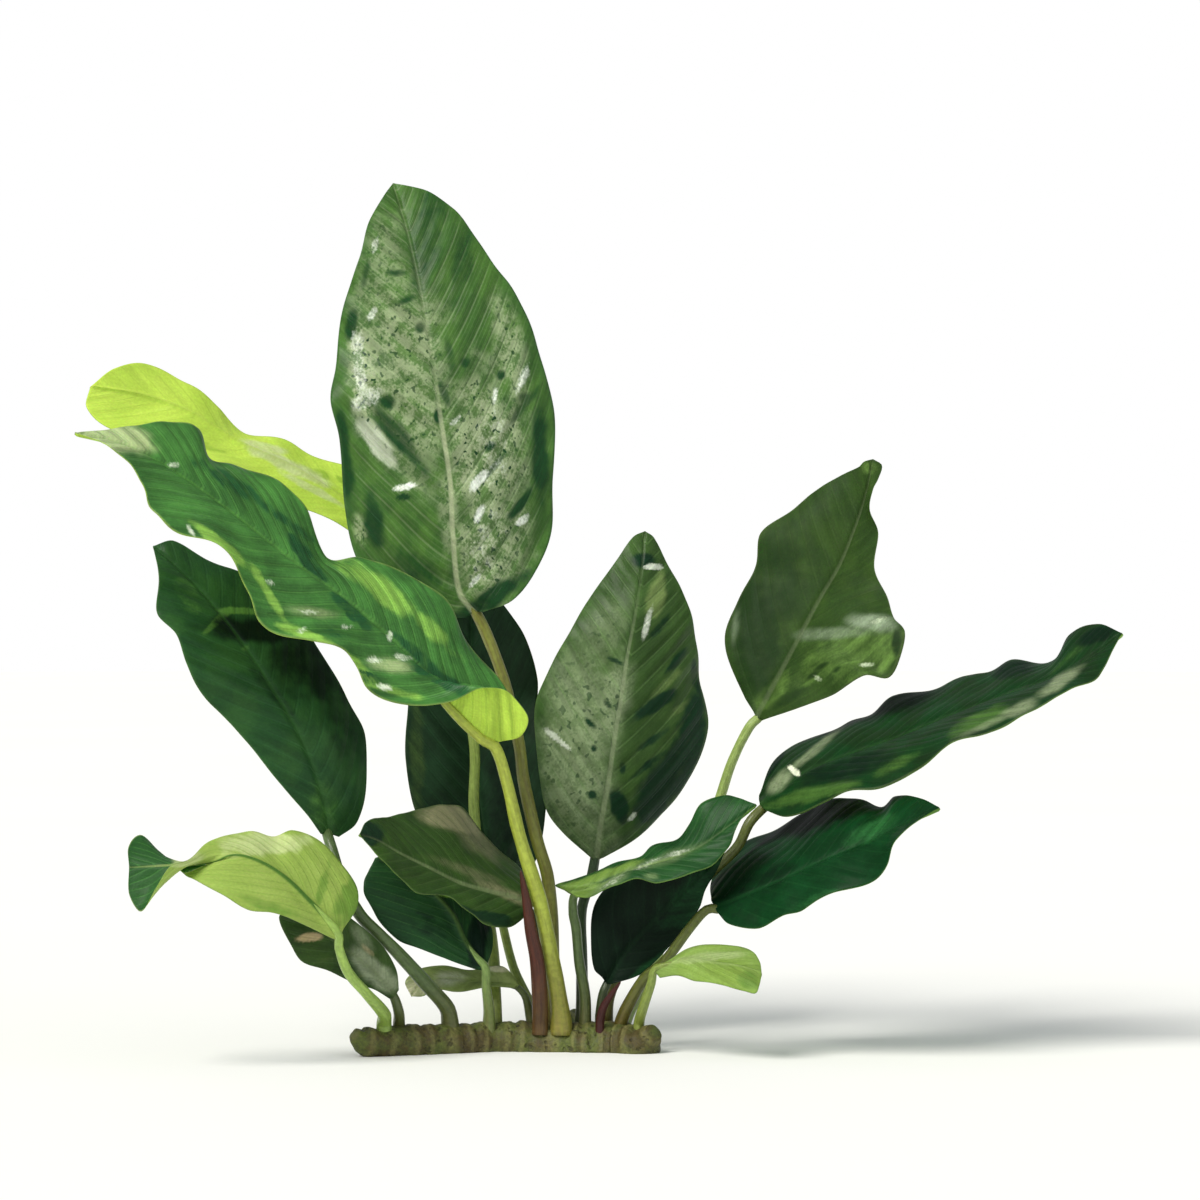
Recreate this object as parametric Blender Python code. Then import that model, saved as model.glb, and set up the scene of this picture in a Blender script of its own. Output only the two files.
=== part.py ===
"""An anubias: a creeping rhizome, its leaf stalks, wavy leaf blades and two sheath leaves.

Sizes are in millimetres until the last step. Places are read from the front. (right, up, back) is
millimetres right of the middle, millimetres above the foot of the stalks, and millimetres behind the
middle of the plant, as they appear to an eye that looks at the plant level from EYE_DISTANCE away.
"""
import math
from typing import NamedTuple

import bmesh
import bpy
from mathutils import Vector

MM = 0.001
WELD_DISTANCE = 0.02 * MM
EYE_DISTANCE = 1500.0
EYE_HEIGHT = 150.0

STALK_FOOT_HEIGHT = 10.0
STALK_ROOTING = 6.0
STALK_SHORTFALL = 1.5
STALK_TAPER_POWER = 0.7
STALK_STEP_LENGTH = 13.0
STALK_STEPS_LEAST = 4
STALK_GLOSS_ROUGHNESS = 0.45
SHEATH_TIP_SHARE = 0.12

BLADE_THICKNESS = 1.0
BLADE_ROW_LENGTH = 12.0
BLADE_ROWS_LEAST = 7
BLADE_ROWS_MOST = 14
BLADE_COLUMNS = 6
BLADE_GLOSS_ROUGHNESS = 0.35
RIB_PROBE = 0.02
RUFFLE_FADE_SHARE = 0.2

GROWTH_GAP = 0.3
RHIZOME_STEPS = 30
RHIZOME_LEAST_RADIUS = 1.0
SCAR_SPACING = 7.0
SCAR_HEIGHT = 0.5
GROUND_BLOCK_SIDE = 400.0
STALK_BEVEL_RESOLUTION = 2
RHIZOME_BEVEL_RESOLUTION = 3


class Leaf(NamedTuple):
    """One leaf: its stalk from the rhizome up, and its blade from the stalk to the tip."""
    name: str
    stalk: tuple
    stalk_width: tuple
    rib: tuple
    left: tuple
    right: tuple
    dome: float
    ruffle: float
    waves: float
    colour: tuple


# A blade's left and right are those of someone who walks on its upper face from the stalk to the tip.
LEAVES = (
    Leaf(
        name="tall",
        stalk=((-17, -1, 2), (-16, 12, 1), (-16, 32, -1), (-17.5, 48, -3), (-21, 60, -4), (-25.5, 80, -4),
               (-27, 92, -3), (-32, 113, 2), (-38, 129, 6)),
        stalk_width=(5.0, 3.8),
        rib=((-42, 136, 5), (-47, 143, 2), (-49, 160, -3), (-50, 180, -4), (-53, 200, -3),
             (-56, 222, 1), (-60, 244, 8), (-64, 262, 16), (-69, 279, 26)),
        left=((-45, 134, 6), (-62, 135, 9), (-75, 143, 8), (-82, 156, 5), (-85, 172, 3), (-87, 193, 2),
              (-90, 206, 0), (-88, 218, 3), (-86, 236, 6), (-80, 254, 11), (-77, 266, 16), (-72, 275, 22),
              (-69, 279, 26)),
        right=((-39, 136, 3), (-29, 140, 2), (-21, 150, 7), (-16, 163, 11), (-16, 180, 13), (-15, 202, 14),
               (-18, 216, 16), (-25, 235, 17), (-36, 253, 18), (-46, 268, 20), (-57, 276, 23),
               (-69, 279, 26)),
        dome=0.06, ruffle=2.0, waves=3.0, colour=(0.24, 0.36, 0.13)),
    Leaf(
        name="arching",
        stalk=((-13, -1, -4), (-14, 8, -6), (-16, 19, -10), (-18, 30, -14), (-20.5, 41, -18),
               (-27, 62, -25), (-31, 79, -30), (-35, 91, -33)),
        stalk_width=(6.6, 3.8),
        rib=((-36, 94, -34), (-43, 100, -37), (-50, 107, -40), (-66, 124, -45), (-84, 140, -51),
             (-103, 154, -57), (-122, 169, -62), (-140, 182, -66), (-156, 191, -70), (-175, 196, -72)),
        left=((-33, 93, -35), (-26, 95, -40), (-24, 101, -44), (-31, 108, -46), (-40, 110, -47),
              (-50, 106, -46), (-66, 106, -48), (-77, 111, -52), (-85, 122, -56), (-97, 126, -62),
              (-110, 131, -68), (-119, 149, -74), (-128, 157, -78), (-141, 161, -82), (-148, 170, -83),
              (-152, 181, -81), (-157, 187, -79), (-165, 192, -76), (-175, 196, -72)),
        right=((-35, 97, -31), (-30, 105, -27), (-33, 114, -26), (-43, 127, -27), (-54, 141, -29),
               (-65, 148, -31), (-78, 155, -34), (-91, 155, -38), (-99, 170, -40), (-108, 179, -44),
               (-120, 186, -49), (-129, 189, -52), (-134, 197, -54), (-153, 198, -62), (-175, 196, -72)),
        dome=0.05, ruffle=2.2, waves=3.5, colour=(0.15, 0.34, 0.08)),
    Leaf(
        name="back_pale",
        stalk=((-35, -1, 3), (-35, 9, 6), (-36, 25, 12), (-39, 45, 18), (-42, 70, 23), (-42, 92, 27),
               (-48, 118, 30), (-56, 140, 32), (-64, 155, 34)),
        stalk_width=(4.4, 3.0),
        rib=((-66, 158, 35), (-76, 166, 36), (-88, 174, 36), (-104, 184, 35), (-121, 192, 32),
             (-137, 202, 28), (-153, 208, 22), (-170, 211, 14)),
        left=((-65, 161, 36), (-67, 172, 42), (-77, 182, 45), (-96, 187, 46), (-106, 194, 44),
              (-119, 197, 42), (-128, 204, 38), (-139, 212, 34), (-150, 219, 28), (-162, 217, 20),
              (-170, 211, 14)),
        right=((-68, 156, 34), (-79, 160, 30), (-91, 167, 27), (-100, 172, 24), (-114, 178, 20),
               (-130, 185, 15), (-147, 191, 10), (-163, 196, 8), (-171, 204, 10), (-170, 211, 14)),
        dome=0.05, ruffle=1.5, waves=3.0, colour=(0.44, 0.62, 0.10)),
    Leaf(
        name="left_dark",
        stalk=((-50, -1, -8), (-51, 4, -10), (-57, 11, -16), (-67, 22, -25), (-74, 29, -29), (-80, 35, -31),
               (-86, 46, -30), (-90, 59, -24)),
        stalk_width=(5.4, 3.6),
        rib=((-90, 62, -22), (-93, 77, -26), (-100, 95, -30), (-110, 112, -32), (-120, 127, -33),
             (-132, 142, -33), (-143, 153, -32), (-149, 158, -30)),
        left=((-93, 62, -23), (-97, 68, -28), (-109, 81, -34), (-120, 97, -38), (-133, 109, -42),
              (-138, 118, -43), (-141, 129, -43), (-147, 136, -42), (-147, 148, -38), (-149, 158, -30)),
        right=((-87, 61, -20), (-81, 66, -16), (-77, 81, -13), (-78, 95, -13), (-85, 107, -14),
               (-94, 124, -17), (-104, 139, -20), (-117, 147, -24), (-130, 152.5, -26), (-142, 160, -28),
               (-149, 158, -30)),
        dome=0.05, ruffle=1.5, waves=2.5, colour=(0.03, 0.11, 0.04)),
    Leaf(
        name="low_pale",
        stalk=((-72, -1, -19), (-72, 2, -24), (-78, 9, -37), (-84, 16, -46), (-87, 24, -51)),
        stalk_width=(4.6, 3.0),
        rib=((-88, 28, -53), (-92, 33, -56), (-99, 40, -60), (-105, 46, -63), (-112, 51, -66),
             (-120, 54, -68), (-130, 54, -70), (-143, 52, -72), (-157, 51, -70)),
        left=((-86, 30, -52), (-81, 38, -47), (-81, 45, -44), (-87, 54, -44), (-95, 60, -46),
              (-103, 63, -49), (-109, 61, -52), (-117, 63, -57), (-129, 60, -66), (-137, 55, -77),
              (-143, 52, -83), (-148, 43, -82), (-153, 36, -76), (-157, 42, -73), (-157, 51, -70)),
        right=((-89, 27, -54), (-95, 30, -60), (-102, 33, -67), (-109, 36, -72), (-117, 37, -76),
               (-127, 42, -77), (-136, 47, -75), (-142, 51, -63), (-147, 57, -60), (-153, 62, -62),
               (-157, 58, -66), (-157, 51, -70)),
        dome=-0.05, ruffle=1.0, waves=3.0, colour=(0.40, 0.55, 0.10)),
    Leaf(
        name="low_grey",
        stalk=((-67, -1, -14), (-67, 2, -18), (-68, 6, -22)),
        stalk_width=(3.8, 3.0),
        rib=((-68, 8, -24), (-73, 13, -27), (-79, 19, -30), (-87, 25, -33), (-95, 32, -36),
             (-104, 38, -38)),
        left=((-70, 7, -25), (-75, 10, -28), (-81, 12, -30), (-90, 16, -33), (-99, 19, -36),
              (-103, 25, -38), (-107, 34, -39), (-104, 38, -38)),
        right=((-67, 10, -24), (-68, 17, -26), (-72, 24, -32), (-79, 31, -36), (-88, 37, -38),
               (-97, 40, -38), (-104, 38, -38)),
        dome=0.05, ruffle=0.8, waves=2.0, colour=(0.12, 0.18, 0.08)),
    Leaf(
        name="back_dark",
        stalk=((-21, -1, 12), (-22, 3, 15), (-25, 9, 18), (-29, 18, 22), (-33, 34, 27)),
        stalk_width=(3.6, 2.8),
        rib=((-34, 38, 29), (-37, 53, 34), (-40, 73, 40), (-42, 93, 44), (-43, 113, 46), (-43, 133, 48),
             (-43, 151, 52)),
        left=((-37, 40, 29), (-50, 50, 29), (-61, 68, 32), (-65, 87, 35), (-64, 104, 38), (-62, 120, 42),
              (-58, 135, 46), (-43, 151, 52)),
        right=((-32, 40, 29), (-22, 52, 29), (-18, 72, 30), (-18, 88, 32), (-21, 102, 34), (-21, 114, 36),
               (-25, 128, 38), (-31, 137, 42), (-43, 151, 52)),
        dome=0.05, ruffle=1.5, waves=2.5, colour=(0.01, 0.05, 0.03)),
    Leaf(
        name="centre_olive",
        stalk=((-12, -1, 8), (-14, 10, 8), (-18.5, 22, 7), (-21, 31, 2)),
        stalk_width=(4.0, 3.0),
        rib=((-22, 38, -5), (-28, 41, -9), (-36, 43, -13), (-47, 46, -19), (-57, 51, -26), (-67, 56, -34),
             (-74, 60, -40), (-80, 62, -45)),
        left=((-23, 36, -7), (-30, 31, -13), (-39, 32, -20), (-46, 38, -25), (-51, 42, -29),
              (-61, 43, -36), (-69, 49, -42), (-75, 56, -45), (-80, 62, -45)),
        right=((-22, 41, -3), (-26, 50, 5), (-32, 57, 8), (-38, 63, 6), (-46, 70, 0), (-54, 71, -7),
               (-61, 70, -14), (-71, 68, -28), (-78, 66, -40), (-80, 62, -45)),
        dome=0.06, ruffle=0.9, waves=2.0, colour=(0.12, 0.17, 0.05)),
    Leaf(
        name="under_dark",
        stalk=((-37, -1, -4), (-37, 3, -5), (-38, 12, -8)),
        stalk_width=(4.2, 3.2),
        rib=((-39, 16, -8), (-46, 26, -8), (-50, 35, -9), (-57, 43, -12), (-65, 50, -16), (-75, 54, -21)),
        left=((-38, 18, -6), (-36, 24, -4), (-36, 32, 0), (-39, 41, 2), (-45, 48, 0), (-55, 54, -7),
              (-67, 57, -15), (-75, 54, -21)),
        right=((-42, 17, -10), (-54, 21, -16), (-61, 24, -18), (-68, 27, -20), (-75, 35, -22),
               (-79, 44, -23), (-75, 54, -21)),
        dome=-0.05, ruffle=0.8, waves=2.0, colour=(0.02, 0.08, 0.03)),
    Leaf(
        name="ground",
        stalk=((-23, -1, 5), (-23.5, 2, 5), (-25, 8, 3)),
        stalk_width=(3.2, 2.4),
        rib=((-27, 12, 1), (-37, 13, 0), (-47, 14, 0), (-55, 14, 0), (-60, 12, -1), (-63, 8, -2)),
        left=((-28, 11, 0), (-35, 11, -2), (-49, 10, -3), (-55, 10, -3), (-59, 8, -3), (-63, 8, -2)),
        right=((-28, 14, 2), (-33, 18, 2), (-45, 17, 3), (-53, 18, 3), (-61, 17, 2), (-65, 13, 0),
               (-63, 8, -2)),
        dome=0.05, ruffle=0.5, waves=2.0, colour=(0.25, 0.32, 0.18)),
    Leaf(
        name="diamond",
        stalk=((-6, -1, 6), (-6, 8, 8), (-6, 22, 12), (-6, 37, 14), (-3, 47, 13)),
        stalk_width=(4.4, 3.4),
        rib=((-1, 53, 12), (0, 63, 9), (3, 80, 6), (5, 94, 5), (7, 106, 6), (9, 120, 8), (12, 136, 12),
             (14, 150, 17), (15, 163, 24)),
        left=((-3, 54, 12), (-12, 62, 11), (-18, 70, 10), (-20, 80, 10), (-21, 92, 10), (-21, 106, 10),
              (-15, 121, 12), (-5, 138, 15), (6, 154, 20), (11, 161, 22), (15, 163, 24)),
        right=((1, 54, 13), (14, 62, 20), (26, 74, 25), (33, 88, 28), (36, 100, 29), (34, 112, 28),
               (33, 122, 27), (29, 138, 25), (22, 153, 24), (18, 161, 24), (15, 163, 24)),
        dome=0.06, ruffle=1.4, waves=2.5, colour=(0.13, 0.19, 0.08)),
    Leaf(
        name="right_upper",
        stalk=((8, -1, 3), (12, 8, 7), (18, 20, 12), (26, 38, 15), (34, 57, 16), (40, 74, 15), (44, 86, 13),
               (50, 98, 10)),
        stalk_width=(4.6, 3.2),
        rib=((52, 101, 9), (57, 110, 10), (65, 125, 12), (73, 140, 15), (80, 152, 18), (86, 167, 22),
             (89, 177, 26), (91, 187, 33)),
        left=((51, 103, 10), (48, 108, 14), (43, 121, 20), (42, 129, 22), (45, 139, 24), (52, 151, 26),
              (54, 162, 28), (64, 170, 28), (70, 176, 28), (79, 181, 28), (86, 184, 30), (88, 186, 32),
              (91, 187, 33)),
        right=((54, 100, 8), (63, 103, 2), (74, 108, -5), (88, 115, -13), (96, 114, -15), (100, 120, -15),
               (102, 129, -12), (98, 134, -7), (95, 142, 0), (91, 151, 6), (93, 162, 11), (90, 170, 17),
               (91, 177, 23), (93, 181, 29), (94, 185, 32), (91, 187, 33)),
        dome=0.05, ruffle=1.4, waves=2.5, colour=(0.06, 0.14, 0.04)),
    Leaf(
        name="right_long",
        stalk=((2, -1, 6), (3, 8, 5), (9, 22, 2), (19, 34, -2), (30, 43, -5), (39, 51, -9), (46, 58, -9),
               (50, 66, -8)),
        stalk_width=(4.4, 3.4),
        rib=((53, 72, -7), (60, 77, -9), (68, 83, -11), (83, 89, -13), (100, 95, -16), (117, 102, -19),
             (133, 108, -22), (150, 114, -25), (163, 121, -28), (174, 129, -30)),
        left=((53, 75, -5), (57, 84, 5), (66, 92, 11), (74, 97, 13), (82, 100, 13), (91, 101, 11),
              (98, 107, 9), (108, 111, 7), (120, 114, 4), (130, 114, 1), (138, 120, -2), (151, 121, -8),
              (157, 128, -12), (166, 132, -20), (174, 129, -30)),
        right=((55, 70, -10), (62, 68, -18), (72, 72, -26), (82, 75, -32), (92, 77, -36), (103, 83, -39),
               (110, 86, -41), (118, 92, -43), (127, 96, -45), (135, 100, -45), (149, 105, -44),
               (158, 111, -42), (166, 116, -39), (174, 129, -30)),
        dome=0.05, ruffle=1.3, waves=4.0, colour=(0.03, 0.11, 0.04)),
    Leaf(
        name="right_low",
        stalk=((7, -1, -3), (10, 6, -7), (15, 14, -11), (21, 19, -14), (31, 32, -19), (36, 37, -21)),
        stalk_width=(4.4, 3.2),
        rib=((38, 38, -22), (48, 42, -26), (60, 47, -30), (73, 53, -34), (87, 59, -38), (99, 65, -43),
             (113, 71, -50)),
        left=((37, 40, -19), (37, 45, -4), (41, 52, 4), (49, 60, 6), (57, 64, 4), (66, 69, 0), (76, 73, -6),
              (88, 73, -17), (94, 71, -24), (98, 75, -28), (106, 74, -38), (113, 71, -50)),
        right=((39, 36, -24), (43, 32, -29), (52, 31, -36), (61, 35, -41), (68, 36, -44), (78, 43, -48),
               (91, 47, -52), (96, 52, -53), (99, 60, -53), (106, 67, -52), (113, 71, -50)),
        dome=0.05, ruffle=1.2, waves=2.5, colour=(0.02, 0.10, 0.04)),
    Leaf(
        name="shade",
        stalk=((0, -1, 0), (0, 2, -1), (1, 9, -3)),
        stalk_width=(3.2, 2.8),
        rib=((2, 12, -4), (8, 22, -6), (17, 32, -9), (25, 40, -12), (33, 48, -15), (42, 57, -17)),
        left=((1, 14, -5), (-2, 17, -6), (-3, 27, -7), (-2, 38, -8), (3, 45, -9), (13, 51, -12),
              (23, 56, -15), (33, 60, -17), (42, 57, -17)),
        right=((4, 12, -6), (13, 15, -6), (19, 20, -7), (27, 29, -9), (33, 37, -12), (35, 43, -14),
               (39, 50, -16), (42, 57, -17)),
        dome=0.05, ruffle=0.6, waves=2.0, colour=(0.01, 0.03, 0.01)),
    Leaf(
        name="short_glossy",
        stalk=((-5, -1, 0), (-5, 8, -1), (-7, 20, -4), (-8, 31, -9), (-9, 36, -12)),
        stalk_width=(3.8, 3.2),
        rib=((-10, 43, -18), (0, 45, -21), (13, 51, -24), (23, 54, -26), (33, 58, -28), (43, 65, -28),
             (52, 72, -27)),
        left=((-11, 43, -17), (-15, 45, -16), (-9, 47, -15), (0, 50, -14), (13, 55, -16), (17, 59, -17),
              (26, 61, -19), (30, 65, -20), (34, 72, -21), (42, 75, -22), (52, 72, -27)),
        right=((-8, 41, -20), (-3, 41, -25), (5, 45, -29), (12, 47, -32), (20, 45, -34), (29, 48, -35),
               (38, 53, -34), (43, 59, -32), (46, 66, -30), (52, 72, -27)),
        dome=0.06, ruffle=0.8, waves=2.0, colour=(0.08, 0.22, 0.08)),
    Leaf(
        name="curled_pale",
        stalk=((13, -1, -8), (14, 3, -12), (17, 12, -18)),
        stalk_width=(3.4, 3.0),
        rib=((19, 16, -20), (30, 19, -26), (38, 18, -32), (47, 17, -37), (54, 15, -40)),
        left=((20, 14, -22), (26, 15, -28), (32, 13, -34), (40, 12, -40), (48, 10, -44), (52, 9, -45),
              (54, 15, -40)),
        right=((20, 18, -19), (28, 23, -21), (36, 25, -24), (49, 24, -29), (53, 20, -34), (54, 15, -40)),
        dome=-0.06, ruffle=0.5, waves=2.0, colour=(0.30, 0.45, 0.10)),
)


class Sheath(NamedTuple):
    """A sheath leaf: a narrow scale that stands beside the stalks."""
    name: str
    spine: tuple
    width: float
    colour: tuple


SHEATHS = (
    Sheath("red", ((-20, -1, -5), (-20, 6, -8.5), (-21, 20, -14), (-23, 30, -17.5), (-24.5, 40, -20.5),
                   (-26.5, 50, -23.5)), 4.6,
           (0.16, 0.03, 0.01)),
    Sheath("dark", ((0, -1, -6), (1, 4, -8), (4, 9, -10), (7, 13, -12)), 3.0, (0.06, 0.01, 0.01)),
)

# The rhizome's axis seen from above: (right, back, radius). Its upper side is level with the stalks' feet.
RHIZOME_AXIS = ((-81, -24, 2.0), (-78, -22, 4.8), (-67, -15, 6.2), (-51, -8, 6.6), (-36, -1, 7.0),
                (-20, 1, 9.0), (-5, 1, 10.6), (7, -2, 9.8), (14, -8, 7.5), (18, -13, 3.0))
BRANCH_AXIS = ((-12, 0, 6.0), (-17, 12, 7.6), (-19, 26, 7.0), (-16, 38, 6.6), (-10, 47, 5.0), (-8, 50, 2.0))
RHIZOME_COLOUR = (0.20, 0.17, 0.05)


def place(right, up, back):
    """Where a point that is seen at (right, up) and lies at depth back really is."""
    nearer = (EYE_DISTANCE + back) / EYE_DISTANCE
    height = STALK_FOOT_HEIGHT + up - EYE_HEIGHT
    return Vector((right * nearer, back, EYE_HEIGHT + height * nearer))


class SmoothCurve:
    """A smooth curve through points, which fraction runs along from 0 to 1 by length."""

    def __init__(self, points):
        self.points = [Vector(point) for point in points]
        self.marks = [0.0]
        for before, after in zip(self.points, self.points[1:]):
            self.marks.append(self.marks[-1] + (after - before).length)
        self.length = self.marks[-1]

    def slope(self, index):
        before = max(index - 1, 0)
        after = min(index + 1, len(self.points) - 1)
        return (self.points[after] - self.points[before]) / (self.marks[after] - self.marks[before])

    def at(self, fraction):
        """The point at a fraction of the length, between the two nearest given points."""
        mark = min(max(fraction, 0.0), 1.0) * self.length
        index = 0
        while index < len(self.points) - 2 and mark > self.marks[index + 1]:
            index += 1
        step = self.marks[index + 1] - self.marks[index]
        t = (mark - self.marks[index]) / step
        start_weight = 2 * t ** 3 - 3 * t ** 2 + 1
        return (self.points[index] * start_weight + self.points[index + 1] * (1 - start_weight)
                + self.slope(index) * step * (t ** 3 - 2 * t ** 2 + t)
                + self.slope(index + 1) * step * (t ** 3 - t ** 2))


def make_material(name, colour, roughness):
    material = bpy.data.materials.new(name)
    material.use_nodes = True
    shader = material.node_tree.nodes["Principled BSDF"]
    shader.inputs["Base Color"].default_value = (*colour, 1.0)
    shader.inputs["Roughness"].default_value = roughness
    shader.inputs["Metallic"].default_value = 0.0
    return material


def add_object(name, data, colour, roughness):
    part = bpy.data.objects.new(name, data)
    bpy.context.collection.objects.link(part)
    part.data.materials.append(make_material(name, colour, roughness))
    return part


class BladeSurface:
    """The curved face of a blade: along runs from stalk to tip, across from the left margin to the right."""

    def __init__(self, leaf):
        self.leaf = leaf
        self.rib = SmoothCurve([place(*point) for point in leaf.rib])
        self.margins = {-1: SmoothCurve([place(*point) for point in leaf.left]),
                        1: SmoothCurve([place(*point) for point in leaf.right])}

    def upward(self, along):
        """The direction that the upper face looks in."""
        ahead = self.rib.at(along + RIB_PROBE) - self.rib.at(along - RIB_PROBE)
        rightward = self.margins[1].at(along) - self.margins[-1].at(along)
        return rightward.cross(ahead).normalized()

    def at(self, along, across):
        """A point of the face: each half is domed, and its margin is ruffled except near the ends."""
        rib = self.rib.at(along)
        if along >= 1.0:
            return rib
        side = 1 if across > 0 else -1
        reach = abs(across)
        margin = self.margins[side].at(along)
        half_width = (margin - rib).length
        crown = self.leaf.dome * half_width * 4 * reach * (1 - reach)
        fade = min(1.0, along / RUFFLE_FADE_SHARE, (1 - along) / RUFFLE_FADE_SHARE)
        turn = 2 * math.pi * self.leaf.waves * along + side * math.pi / 2
        wave = self.leaf.ruffle * reach ** 2 * fade * math.sin(turn)
        return rib.lerp(margin, reach) + self.upward(along) * (crown + wave)


def make_blade(leaf):
    """A sheet laid over the blade's surface and thickened downwards."""
    surface = BladeSurface(leaf)
    rows = round(surface.rib.length / BLADE_ROW_LENGTH)
    rows = min(max(rows, BLADE_ROWS_LEAST), BLADE_ROWS_MOST)
    sheet = bmesh.new()
    bmesh.ops.create_grid(sheet, x_segments=BLADE_COLUMNS, y_segments=rows, size=1.0)
    for vertex in sheet.verts:
        along = (vertex.co.y + 1) / 2
        vertex.co = surface.at(along, vertex.co.x) * MM
    bmesh.ops.remove_doubles(sheet, verts=sheet.verts, dist=WELD_DISTANCE)
    for face in sheet.faces:
        face.smooth = True
    mesh = bpy.data.meshes.new("leaf_" + leaf.name)
    sheet.to_mesh(mesh)
    sheet.free()
    blade = add_object("leaf_" + leaf.name, mesh, leaf.colour, BLADE_GLOSS_ROUGHNESS)
    thicken = blade.modifiers.new("thickness", "SOLIDIFY")
    thicken.thickness = BLADE_THICKNESS * MM
    thicken.offset = -1.0
    thicken.use_even_offset = False


def make_tube(name, points, radii, colour, bevel_resolution=STALK_BEVEL_RESOLUTION):
    """A round stem through points, in millimetres, with flat filled ends."""
    curve = bpy.data.curves.new(name, "CURVE")
    curve.dimensions = "3D"
    curve.bevel_depth = MM
    curve.bevel_resolution = bevel_resolution
    curve.use_fill_caps = True
    spline = curve.splines.new("POLY")
    spline.points.add(len(points) - 1)
    for spot, point, radius in zip(spline.points, points, radii):
        spot.co = (*(point * MM), 1.0)
        spot.radius = radius
    return add_object(name, curve, colour, STALK_GLOSS_ROUGHNESS)


def make_solid_copy(tube):
    """The same stem as a mesh object, so that Boolean modifiers can work on it."""
    bpy.context.view_layer.update()
    mesh = bpy.data.meshes.new_from_object(tube.evaluated_get(bpy.context.evaluated_depsgraph_get()))
    name = tube.name
    bpy.data.objects.remove(tube)
    welded = bmesh.new()
    welded.from_mesh(mesh)
    bmesh.ops.remove_doubles(welded, verts=welded.verts, dist=WELD_DISTANCE)
    bmesh.ops.recalc_face_normals(welded, faces=welded.faces)
    welded.to_mesh(mesh)
    welded.free()
    solid = bpy.data.objects.new(name, mesh)
    bpy.context.collection.objects.link(solid)
    return solid


def hide_tool(tool):
    tool.hide_render = True
    tool.display_type = "WIRE"


def add_boolean(target, tool, operation):
    cut = target.modifiers.new(operation.lower(), "BOOLEAN")
    cut.operation = operation
    cut.object = tool
    cut.solver = "EXACT"


def make_rhizome_run(name, axis, swell=0.0):
    """A ringed stretch of rhizome whose upper side is level; swell makes it thicker all round."""
    run = SmoothCurve(axis)
    points = []
    radii = []
    for step in range(RHIZOME_STEPS + 1):
        right, back, radius = run.at(step / RHIZOME_STEPS)
        ring = SCAR_HEIGHT * math.cos(2 * math.pi * run.length * step / RHIZOME_STEPS / SCAR_SPACING)
        points.append(Vector((right, back, STALK_FOOT_HEIGHT - radius)))
        radii.append(max(radius + ring, RHIZOME_LEAST_RADIUS) + swell)
    return make_solid_copy(make_tube(name, points, radii, RHIZOME_COLOUR, RHIZOME_BEVEL_RESOLUTION))


def make_ground_tool():
    """A block whose upper side is the level that the plant rests on."""
    ground = bmesh.new()
    bmesh.ops.create_cube(ground, size=GROUND_BLOCK_SIDE * MM)
    bmesh.ops.translate(ground, verts=ground.verts, vec=(0, 0, -GROUND_BLOCK_SIDE * MM / 2))
    mesh = bpy.data.meshes.new("ground_tool")
    ground.to_mesh(mesh)
    ground.free()
    block = bpy.data.objects.new("ground_tool", mesh)
    bpy.context.collection.objects.link(block)
    hide_tool(block)
    return block


def make_rhizome():
    """The main run and its older side branch in one, cut off flat where the plant rests."""
    rhizome = make_rhizome_run("rhizome", RHIZOME_AXIS)
    branch = make_rhizome_run("branch_tool", BRANCH_AXIS)
    hide_tool(branch)
    add_boolean(rhizome, branch, "UNION")
    add_boolean(rhizome, make_ground_tool(), "DIFFERENCE")


def make_rooting_tool():
    """The rhizome's shape with the growth gap around it, which the stalks' feet are cut to."""
    tool = make_rhizome_run("rooting_tool", RHIZOME_AXIS, GROWTH_GAP)
    branch = make_rhizome_run("branch_rooting_tool", BRANCH_AXIS, GROWTH_GAP)
    add_boolean(tool, branch, "UNION")
    hide_tool(tool)
    hide_tool(branch)
    return tool


def rooted(points):
    """The same points with one more below the first, inside the rhizome."""
    first = points[0]
    return [first - Vector((0, 0, STALK_ROOTING))] + points


def make_stalk(leaf, rooting_tool):
    """A tapered stalk from the rhizome to just short of the blade."""
    route = SmoothCurve(rooted([place(*point) for point in leaf.stalk]))
    base = place(*leaf.rib[0])
    width_at_foot, width_at_blade = leaf.stalk_width
    steps = max(round(route.length / STALK_STEP_LENGTH), STALK_STEPS_LEAST)
    points = []
    radii = []
    for step in range(steps + 1):
        fraction = step / steps
        points.append(route.at(fraction))
        taper = fraction ** STALK_TAPER_POWER
        radii.append((width_at_foot + (width_at_blade - width_at_foot) * taper) / 2)
    last_reach = base - points[-1]
    points.append(base - last_reach.normalized() * STALK_SHORTFALL)
    radii.append(width_at_blade / 2)
    stalk = make_solid_copy(make_tube("stalk_" + leaf.name, points, radii, leaf.colour))
    add_boolean(stalk, rooting_tool, "DIFFERENCE")


def make_sheath(sheath, rooting_tool):
    """A scale that narrows to a point at its upper end."""
    route = SmoothCurve(rooted([place(*point) for point in sheath.spine]))
    steps = max(round(route.length / STALK_STEP_LENGTH), STALK_STEPS_LEAST)
    points = []
    radii = []
    for step in range(steps + 1):
        fraction = step / steps
        points.append(route.at(fraction))
        radii.append(sheath.width / 2 * max(SHEATH_TIP_SHARE, math.sqrt(1 - fraction ** 2)))
    scale = make_solid_copy(make_tube("sheath_" + sheath.name, points, radii, sheath.colour))
    add_boolean(scale, rooting_tool, "DIFFERENCE")


def main():
    for old in list(bpy.data.objects):
        bpy.data.objects.remove(old)
    make_rhizome()
    rooting_tool = make_rooting_tool()
    for leaf in LEAVES:
        make_stalk(leaf, rooting_tool)
        make_blade(leaf)
    for sheath in SHEATHS:
        make_sheath(sheath, rooting_tool)


main()
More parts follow.
